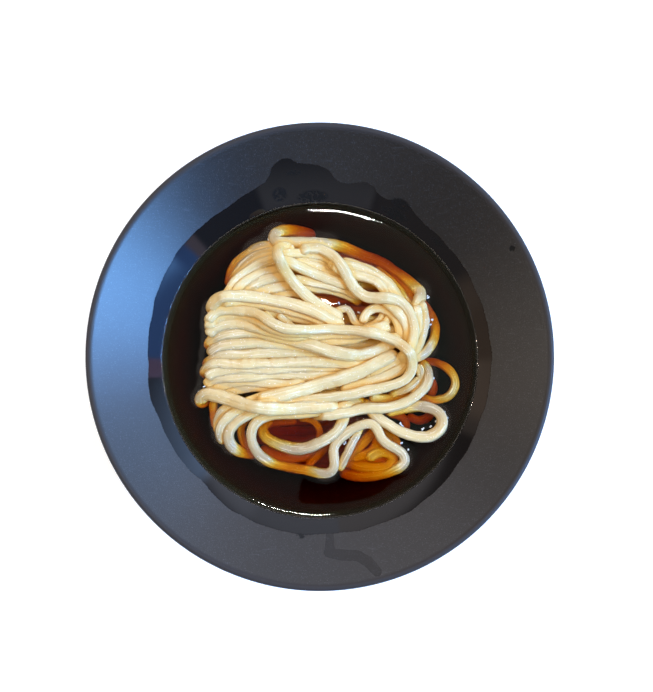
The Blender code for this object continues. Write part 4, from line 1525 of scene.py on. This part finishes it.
    def settle(self, samples: np.ndarray, half_widths: np.ndarray, half_depths: np.ndarray,
               free: np.ndarray) -> None:
        """Lifts a strand's samples where they would sink into the heap.

        Args:
            samples: The samples, which are changed.
            half_widths: Half the width that rests on the heap, at each.
            half_depths: Half the thickness there, at each.
            free: True where the strand rests on nothing.
        """
        rest = np.array([
            self.heap.rest_height(x, y, half_width, half_depth)
            for (x, y, _), half_width, half_depth in zip(samples, half_widths, half_depths)])
        rest = np.where((samples[:, 2] < self.sunk) | free, self.free, rest)
        heights = np.maximum(samples[:, 2], rest)
        for _ in range(self.settling):
            heights = np.maximum(blur(heights, self.settled[0]), rest)
        samples[:, 2] = blur(heights, self.settled[1])

    def lean(self, samples: np.ndarray) -> np.ndarray:
        """How far a strand rolls towards its lower side.

        Args:
            samples: Samples of its middle line.

        Returns:
            One angle in radians for each sample.
        """
        side = leftward(samples) * self.lean_reach
        left, right = (self.heap.at(samples[:, :2] + way * side) for way in (1, -1))
        slope = np.clip((left - right) / (2 * self.lean_reach), -0.5, 0.5)
        return blur(self.lean_share * slope, self.settled[0])

    def section(self, sides: int) -> bpy.types.Object:
        """The strand's cross section for a width of 1 mm: a rounded rectangle as a closed curve.

        Args:
            sides: Facets round a strand.

        Returns:
            The curve's object.
        """
        curve = bpy.data.curves.new("section", "CURVE")
        curve.dimensions = "2D"
        spline = curve.splines.new("POLY")
        spline.points.add(sides - 1)
        spline.use_cyclic_u = True
        for index, point in enumerate(spline.points):
            angle = 2 * math.pi * (index + 0.5) / sides
            x, y = math.cos(angle), math.sin(angle)
            square = (abs(x) ** 3 + abs(y) ** 3) ** (-1 / 3)
            point.co = (0.5 * MM * x * square, 0.5 * MM * self.depth_share * y * square, 0.0, 1.0)
        return placed("section", curve)

    def tubes(self, layer: Layer, strands: list[LaidStrand], sides: int) -> bpy.types.Object:
        """Makes the strands of one layer as swept tubes in one mesh.

        Args:
            layer: The layer, which names the piece.
            strands: Its laid strands.
            sides: Facets round a strand.

        Returns:
            The piece.
        """
        section = self.section(sides)
        curve = bpy.data.curves.new(layer.value, "CURVE")
        curve.dimensions = "3D"
        curve.twist_mode = "Z_UP"
        curve.bevel_mode = "OBJECT"
        curve.bevel_object = section
        curve.use_fill_caps = True
        for strand in strands:
            spline = curve.splines.new("POLY")
            spline.points.add(len(strand.points) - 1)
            places = strand.points * MM + np.array((0.0, 0.0, self.level))
            spline.points.foreach_set("co", np.hstack((places, np.ones((len(places), 1)))).ravel())
            spline.points.foreach_set("radius", strand.widths * strand.ends)
            spline.points.foreach_set("tilt", strand.rolls)
        path = placed("path", curve)
        bpy.context.view_layer.update()
        swept = bpy.data.meshes.new_from_object(path.evaluated_get(bpy.context.evaluated_depsgraph_get()))
        shape = bmesh.new()
        shape.from_mesh(swept)
        for item in (path, section):
            bpy.data.objects.remove(item)
        return finished(layer.value, welded(shape, self.weld))

    def core(self) -> bpy.types.Object:
        """The smaller core under the strands: a lumpy mound that nothing shows of but its shade.

        Returns:
            The core.
        """
        shape = bmesh.new()
        bmesh.ops.create_icosphere(shape, subdivisions=5, radius=1.0)
        half, middle = Vector(self.core_half), Vector(self.core_middle)
        for vertex in shape.verts:
            lump = 1 + self.core_lumps * noise.noise(3.0 * vertex.co)
            vertex.co = (half * vertex.co * lump + middle) * MM + Vector((0, 0, self.level))
        return finished("noodles_core", shape)

    def shade(self, item: bpy.types.Object, relief: HeapMap, strands: list[LaidStrand]) -> None:
        """Stores each vertex's tone and how deep it lies in a crease.

        Args:
            item: The piece.
            relief: The greatest heights near each place.
            strands: The strands that the piece is made of.
        """
        places = positions(item)
        local = places / MM - np.array((0.0, 0.0, self.level / MM))
        depth = relief.at(local) - local[:, 2]
        crease = np.clip((depth - self.crease_start) / self.crease_depth, 0, 1)
        middles = np.vstack([strand.points for strand in strands])
        ahead = np.vstack([headings(strand.points) for strand in strands])
        tones = np.concatenate([np.full(len(strand.points), strand.tone) for strand in strands])
        runs = np.concatenate([np.arange(len(strand.points)) * self.step for strand in strands])
        tree = search_tree(middles)
        nearest = np.array([tree.find(place)[1] for place in local])
        away = local - middles[nearest]
        side = away[:, 1] * ahead[nearest, 0] - away[:, 0] * ahead[nearest, 1]
        tone = tones[nearest]
        store(item, "tone", tone)
        # The crease depth is the mask for the noodle's painted shade and painted glow.
        store(item, "crease", crease)
        across, along, through = self.grain
        grain = (across * side, along * runs[nearest], self.grain_shift * tone + through * away[:, 2])
        store(item, "strand", np.stack(grain, axis=1))

    def build(self, finish: NoodleFinish) -> None:
        """Lays every strand, makes the pieces and dresses them.

        Args:
            finish: The noodle's finish.
        """
        packing = [strand for block in self.blocks for strand in block.strands(self.draws, self)]
        order = ((Layer.PACKING, packing), (Layer.SUNK, SUNK_STRANDS), (Layer.LOOSE, LOOSE_STRANDS),
                 (Layer.HANK, HANK_STRANDS), (Layer.TOP, TOP_STRANDS))
        for layer, strands in order:
            for strand in strands:
                self.lay(strand, layer)
        whole = HeapMap()
        for strand in self.laid:
            for (x, y, z), width in zip(strand.points, strand.widths):
                whole.cover(x, y, z, width / 2, width / 2 * self.depth_share)
        relief = whole.widened(self.crease_reach)
        material = finish.material(self.level)
        for layer in Layer:
            strands = [strand for strand in self.laid if strand.layer is layer]
            sides = self.packing_sides if layer is Layer.PACKING else self.sides
            item = self.tubes(layer, strands, sides)
            self.shade(item, relief, strands)
            attach(item, "noodles", material)
        core = self.core()
        # The core counts as 0.6 deep in a crease everywhere, so it takes the painted crease shade and glow.
        for name, value in (("tone", 0.5), ("crease", 0.6)):
            store(core, name, np.full(len(core.data.vertices), value))
        store(core, "strand", positions(core) / MM)
        attach(core, "noodles", material)
        log.info("bundle top %.1f mm over the broth", whole.height.max())


@dataclass
class Broth:
    """The broth, filled to its level and just into the wall, with a raised edge at all that it wets.

    Attributes:
        climb, climb_fade: Height and width of the raised edge at the wall.
        edge_climb, edge_fade: The same for its steep last part.
        noodle_climb, noodle_fade, noodle_reach: The same at a strand, and where it ends.
        bare_share: Greatest climb at a strand as a share of its height over the broth.
        least_share: Least share of a strand's half width at which it cuts the surface.
        wall_share: How much less the broth climbs at strands close to the wall.
        drop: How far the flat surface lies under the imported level.
        evened: Times that the surface away from the wall is evened out.
        shore_bands, rings: Where the rings of the mesh get finer, and their widths.
        calm: Width of the edge that isn't evened out.
        wetted: Heights between which a strand touches the surface, in millimetres.
        neighbours: Points on strands that each place looks at.
    """

    climb: float = 0.9 * MM
    climb_fade: float = 3.2 * MM
    edge_climb: float = 0.25 * MM
    edge_fade: float = 0.35 * MM
    noodle_climb: float = 0.5 * MM
    noodle_fade: float = 1.8 * MM
    drop: float = 0.2 * MM
    noodle_reach: float = 8 * MM
    bare_share: float = 0.7
    least_share: float = 0.05
    wall_share: float = 3.0
    evened: int = 8
    into_wall: float = 0.6 * MM
    steps: int = 480
    longest: float = 6 * MM
    fine_from: float = 22 * MM
    shore_bands: Pair = (4 * MM, 1.5 * MM)
    rings: tuple[float, ...] = (2.4 * MM, 0.62 * MM, 0.3 * MM, 0.14 * MM)
    calm: float = 3 * MM
    wetted: Pair = (0.15, 0.9)
    neighbours: int = 5

    def outline(self, bowl: Bowl, level: float) -> list[Pair]:
        """The half section, from the top's middle out to the wall and back under it.

        Args:
            bowl: The bowl.
            level: Height of the flat surface.

        Returns:
            The points (radius, height).
        """
        shore = bowl.cone_radius(level + self.climb + self.edge_climb)
        bounds = (0.0, self.fine_from, *(shore - band for band in self.shore_bands), shore + self.into_wall)
        radii = [np.arange(*span) for span in zip(bounds, bounds[1:], self.rings)]
        top = [(radius, level) for radius in (*np.concatenate(radii), bounds[-1])]
        under = bowl.hollow(self.into_wall * math.sin(bowl.slope))
        return top + under[::-1]

    def rise(self, places: np.ndarray, shore: float, bundle: NoodleBundle, level: float) -> np.ndarray:
        """How far the surface stands over its level at each place.

        Args:
            places: Places on the surface.
            shore: Radius where it meets the wall.
            bundle: The laid noodles.
            level: Height of the flat surface.

        Returns:
            One height for each place.
        """
        inward = np.maximum(shore - from_axis(places), 0)
        wall = self.climb * np.exp(-inward / self.climb_fade)
        wall += self.edge_climb * np.exp(-inward / self.edge_fade)
        lift = (bundle.level - level) / MM
        low, high = self.wetted
        spots, halves, tops = [], [], []
        for strand in bundle.laid:
            for (x, y, z), width in zip(strand.points, strand.widths):
                height, half_depth = z + lift, width / 2 * bundle.depth_share
                if height + half_depth > low and height - half_depth < high:
                    cut = math.sqrt(max(self.least_share, 1 - (height / half_depth) ** 4))
                    spots.append((x * MM, y * MM, 0.0))
                    halves.append(width / 2 * cut * MM)
                    tops.append(min(self.noodle_climb, self.bare_share * (height + half_depth) * MM))
        tree = search_tree(spots)
        climbs = np.zeros(len(places))
        for index, place in enumerate(places):
            for _, spot, away in tree.find_n((place[0], place[1], 0.0), self.neighbours):
                gap = max(away - halves[spot], 0.0)
                share = max(1 - gap / self.noodle_reach, 0.0) ** 2
                climbs[index] = max(climbs[index], tops[spot] * math.exp(-gap / self.noodle_fade) * share)
        return wall + climbs * (1 - wall / (self.wall_share * self.climb))

    def even_out(self, item: bpy.types.Object, level: float, reach: float) -> None:
        """Evens the surface out, up to a radius.

        Args:
            item: The broth.
            level: Height of the flat surface.
            reach: The radius.
        """
        shape = bmesh.new()
        shape.from_mesh(item.data)
        top = [point for point in shape.verts
               if point.co.z > level - TINY and point.co.xy.length < reach]
        for _ in range(self.evened):
            bmesh.ops.smooth_vert(shape, verts=top, factor=0.5, use_axis_z=True)
        shape.to_mesh(item.data)
        shape.free()

    def build(self, bowl: Bowl, bundle: NoodleBundle, finish: BrothFinish) -> bpy.types.Object:
        """Fills the bowl and dresses the broth.

        Args:
            bowl: The bowl that holds it.
            bundle: The noodles that stand in it.
            finish: The broth's finish.

        Returns:
            The broth.
        """
        level = bundle.level - self.drop
        item = spun("soy_broth", self.outline(bowl, level), self.steps, self.longest)
        places = positions(item)
        on_top = places[:, 2] > level - TINY
        shore = bowl.cone_radius(level + self.climb + self.edge_climb)
        places[on_top, 2] += self.rise(places[on_top], shore, bundle, level)
        item.data.vertices.foreach_set("co", places.ravel())
        self.even_out(item, level, shore - self.calm)
        attach(item, "broth", finish.material())
        return item


@dataclass(frozen=True)
class BubbleFinish:
    """Thin foam at the broth's surface: pale and glossy; the pale colour is partly painted highlight for the
    glints on its bubbles.
    """

    # Partly painted highlight: the pale colour makes the bubbles read as bright glints.
    colour: Colour = (0.78, 0.75, 0.70)
    clouds: Grain = Grain(1500.0, 0.4, 0.6)
    cloud_share: float = 0.8
    roughness: float = 0.08

    def material(self) -> bpy.types.Material:
        """Builds the foam.

        Returns:
            The material.
        """
        material, board, shader = new_material("pale_foam_painted_glints")
        board.fill(shader, {
            "Base Color": board.clouded(self.colour, self.clouds, self.cloud_share),
            "Roughness": self.roughness})
        return material


@dataclass
class Bubbles:
    """Small groups of bubbles that cling where noodles meet the broth.

    Attributes:
        groups: Each group's place, length and width in millimetres and its turn in degrees.
        size: Radii that a bubble may have, in millimetres.
        least: Bubbles that every group has.
        per_length: Further bubbles for each millimetre of its length.
        height: Height of their middles over the broth, in millimetres.
        squash: Their height as a share of their width.
    """

    groups: tuple[tuple[float, ...], ...] = (
        (61, 36, 2.0, 1.4, 80), (60, 28, 1.4, 1.0, 60), (63, 23, 1.6, 0.8, 110), (62, 20, 1.0, 0.8, 0),
        (11, 32, 1.6, 1.0, -30), (22, 27, 1.0, 0.8, 0), (64, -10, 1.0, 0.8, 0), (70, -29, 1.2, 0.8, 20),
        (71.5, -32, 1.0, 0.8, 0), (65.5, -34, 1.2, 1.0, 0), (62, -37, 1.4, 1.0, 0),
        (58, -38.5, 1.8, 1.2, 10), (46, -36, 3.0, 0.8, -45), (46, -46.5, 1.2, 0.8, 0),
        (49.5, -50, 1.0, 0.8, 0), (17, -44, 1.0, 1.0, 0), (14, -46.5, 1.4, 1.0, 30),
        (-61.5, 29.5, 5.6, 0.9, 64), (-28, 66.5, 4.4, 0.8, -58), (-61.6, 9, 1.4, 0.8, 90),
        (-61.6, 2, 1.2, 0.8, 90), (-66, -4, 1.0, 0.8, 0), (-65, -14.5, 1.2, 1.0, 40),
        (-68, -18, 1.4, 0.9, 90))
    size: Pair = (0.22, 0.46)
    least: int = 3
    per_length: int = 3
    height: float = 0.1
    squash: float = 0.7

    def build(self, level: float, finish: BubbleFinish) -> bpy.types.Object:
        """Makes every bubble in one mesh and dresses it.

        Args:
            level: Height of the broth.
            finish: The foam's finish.

        Returns:
            The piece.
        """
        draws = np.random.default_rng(7)
        shape = bmesh.new()
        for x, y, length, width, turn in self.groups:
            for _ in range(self.least + int(self.per_length * length)):
                offset = Vector(draws.uniform(-0.5, 0.5, 2) * (length, width))
                offset.rotate(Matrix.Rotation(math.radians(turn), 2))
                radius = draws.uniform(*self.size)
                place = Vector((x + offset.x, y + offset.y, self.height)) * MM + Vector((0, 0, level))
                spot = Matrix.Translation(place) @ Matrix.Diagonal((1, 1, self.squash, 1))
                bmesh.ops.create_icosphere(shape, subdivisions=2, radius=radius * MM, matrix=spot)
        item = finished("broth_bubbles", shape)
        attach(item, "broth", finish.material())
        return item


@dataclass(frozen=True)
class Lamp:
    """A small rectangular lamp that faces the bowl.

    Attributes:
        name: What it is.
        azimuth: Its direction from the bowl in degrees, from +X.
        elevation: Its height over the horizon in degrees.
        spread: Its width and height in degrees as the bowl sees it.
        radiance: Its brightness, as red, green and blue.
    """

    name: str
    azimuth: float
    elevation: float
    spread: Pair
    radiance: Colour


@dataclass(frozen=True)
class Glow:
    """A soft-edged patch of the sky, or of the whole turn round it where width is 360.

    Attributes:
        azimuth: Direction of its middle in degrees, from +X.
        elevation: Height of its middle over the horizon in degrees.
        width: Its full width in degrees.
        height: Its full height in degrees.
        soft: Width of its soft edge in degrees.
        radiance: What it adds to the sky, as red, green and blue.
    """

    azimuth: float
    elevation: float
    width: float
    height: float
    soft: float
    radiance: Colour


@dataclass
class Studio:
    """Camera, lamps, sky and floor."""

    camera_place: tuple[float, float, float] = (0.0, -38.5 * MM, 523.3 * MM)
    lens: float = 44.1
    shift: Pair = (0.0097, 0.1200)
    clip: Pair = (0.01, 20.0)
    floor_half: float = 3.0
    aim: float = 50 * MM
    lamp_distance: float = 6.0
    sky: Colour = (0.06, 0.052, 0.055)
    glows: tuple[Glow, ...] = (
        Glow(0, 61.5, 360, 25, 6, (1.22, 1.12, 1.0)),
        Glow(0, 90, 360, 28, 8, (0.20, 0.27, 0.25)),
        Glow(40, 78, 96, 16, 8, (0.16, 0.22, 0.17)),
        Glow(-16, 22, 41, 17, 2.5, (0.3, 1.1, 3.6)),
        Glow(-12, 41, 36, 21, 5, (7.4, 18.4, 39.0)),
        Glow(-38.7, 25, 4.4, 22, 2.5, (1.2, 0.95, 1.2)),
        Glow(7.8, 25, 6.5, 22, 1, (1.6, 1.0, 1.9)),
        Glow(30, 13, 38, 22, 6, (2.4, 3.75, 6.3)),
        Glow(72, 17, 48, 11.6, 1, (1.45, 1.55, 1.85)),
        Glow(54, 17, 28, 11.6, 6, (0.7, 0.75, 0.95)),
        Glow(123, 17, 54, 11.6, 1, (1.5, 1.42, 1.46)),
        Glow(162, 21, 26, 12, 4, (0.70, 0.55, 0.45)),
        Glow(90, 37, 84, 18, 8, (1.56, 1.53, 1.66)),
        Glow(180, 26, 50, 8, 8, (0.85, 0.56, 0.36)),
        Glow(-138, 27, 56, 13, 8, (0.20, 0.17, 0.15)),
        Glow(-89, 26, 42, 12.3, 3, (0.62, 0.63, 0.68)))
    shades: tuple[Glow, ...] = (Glow(-69, 85, 80, 4.6, 0.7, (0.0, 0.0, 0.0)),)
    lamps: tuple[Lamp, ...] = (
        Lamp("ceiling_strip", 85.6, 81.56, (1.8, 1.7), (150.0, 147.0, 139.0)),
        Lamp("left_strip", 14, 52, (7, 2.5), (60.0, 60.0, 60.0)),
        Lamp("right_strip", 172, 50, (24, 2.0), (46.0, 45.0, 42.0)))

    def hang(self, lamp: Lamp) -> None:
        """Hangs one lamp.

        Args:
            lamp: The lamp.
        """
        outward = heading(lamp.azimuth, lamp.elevation)
        width, height = (2 * self.lamp_distance * math.tan(math.radians(part) / 2) for part in lamp.spread)
        power = max(lamp.radiance)
        light = bpy.data.lights.new(lamp.name, "AREA")
        light.shape = "RECTANGLE"
        light.size, light.size_y = width, height
        light.color = [part / power for part in lamp.radiance]
        light.energy = power * math.pi * width * height
        item = placed(lamp.name, light)
        item.location = outward * self.lamp_distance + Vector((0, 0, self.aim))
        item.rotation_euler = outward.to_track_quat("Z", "Y").to_euler()
        item.visible_camera = False

    def spread_sky(self) -> None:
        """Makes the sky: an even shade and its glows."""
        world = bpy.data.worlds.new("sky")
        world.use_nodes = True
        board = NodeBoard(world.node_tree)
        look = board.node("ShaderNodeTexCoord").outputs["Generated"]
        total = board.scaled(self.sky, 1.0)
        for glow in self.glows:
            part = board.scaled(glow.radiance, self.glow_share(board, look, glow))
            total = board.vectors("ADD", total, part)[0]
        for shade in self.shades:
            total = board.scaled(total, board.one_less(self.glow_share(board, look, shade)))
        board.fill(world.node_tree.nodes["Background"], {"Color": total})
        bpy.context.scene.world = world

    def glow_share(self, board: NodeBoard, look: Socket, glow: Glow) -> Socket:
        """How much of a glow is seen in a direction.

        Args:
            board: The sky's board of nodes.
            look: The direction.
            glow: The glow.

        Returns:
            A number from 0 to 1.
        """
        soft = math.radians(glow.soft / 2)
        height = board.node("ShaderNodeSeparateXYZ", {0: look}).outputs["Z"]
        off = board.maths("SUBTRACT", board.maths("ARCSINE", height), math.radians(glow.elevation))
        share = board.within(board.maths("ABSOLUTE", off), math.radians(glow.height / 2), soft)
        if glow.width < 360:
            flat = board.vectors("MULTIPLY", look, (1.0, 1.0, 0.0))[0]
            level = board.vectors("NORMALIZE", flat)[0]
            along = board.vectors("DOT_PRODUCT", level, heading(glow.azimuth, 0.0))["Value"]
            turn = board.maths("ARCCOSINE", along)
            share = board.times(share, board.within(turn, math.radians(glow.width / 2), soft))
        return share

    def stand_camera(self) -> None:
        """Stands the camera over the bowl, a little towards its near side."""
        data = bpy.data.cameras.new("camera")
        data.lens = self.lens
        data.clip_start, data.clip_end = self.clip
        data.shift_x, data.shift_y = self.shift
        camera = placed("camera", data)
        camera.location = self.camera_place
        bpy.context.scene.camera = camera

    def build(self) -> None:
        """Sets up the floor, the lamps, the sky and the camera."""
        shape = bmesh.new()
        bmesh.ops.create_grid(shape, x_segments=8, y_segments=8, size=self.floor_half)
        floor = finished("floor", shape)
        floor.data.materials.append(FloorFinish().material())
        for lamp in self.lamps:
            self.hang(lamp)
        self.spread_sky()
        bpy.context.scene.view_settings.view_transform = "Standard"
        self.stand_camera()


def heading(azimuth: float, elevation: float) -> Vector:
    """The direction at an azimuth from +X and an elevation, both in degrees."""
    turn, rise = math.radians(azimuth), math.radians(elevation)
    return Vector((math.cos(turn) * math.cos(rise), math.sin(turn) * math.cos(rise), math.sin(rise)))


def main() -> None:
    """Builds the studio and every piece."""
    logging.basicConfig(level=logging.INFO, format="%(message)s")
    Studio().build()
    bowl = Bowl()
    bowl.build(GlazeFinish())
    bundle = NoodleBundle()
    bundle.build(NoodleFinish())
    Broth().build(bowl, bundle, BrothFinish())
    Bubbles().build(bundle.level, BubbleFinish())


if __name__ == "__main__":
    main()
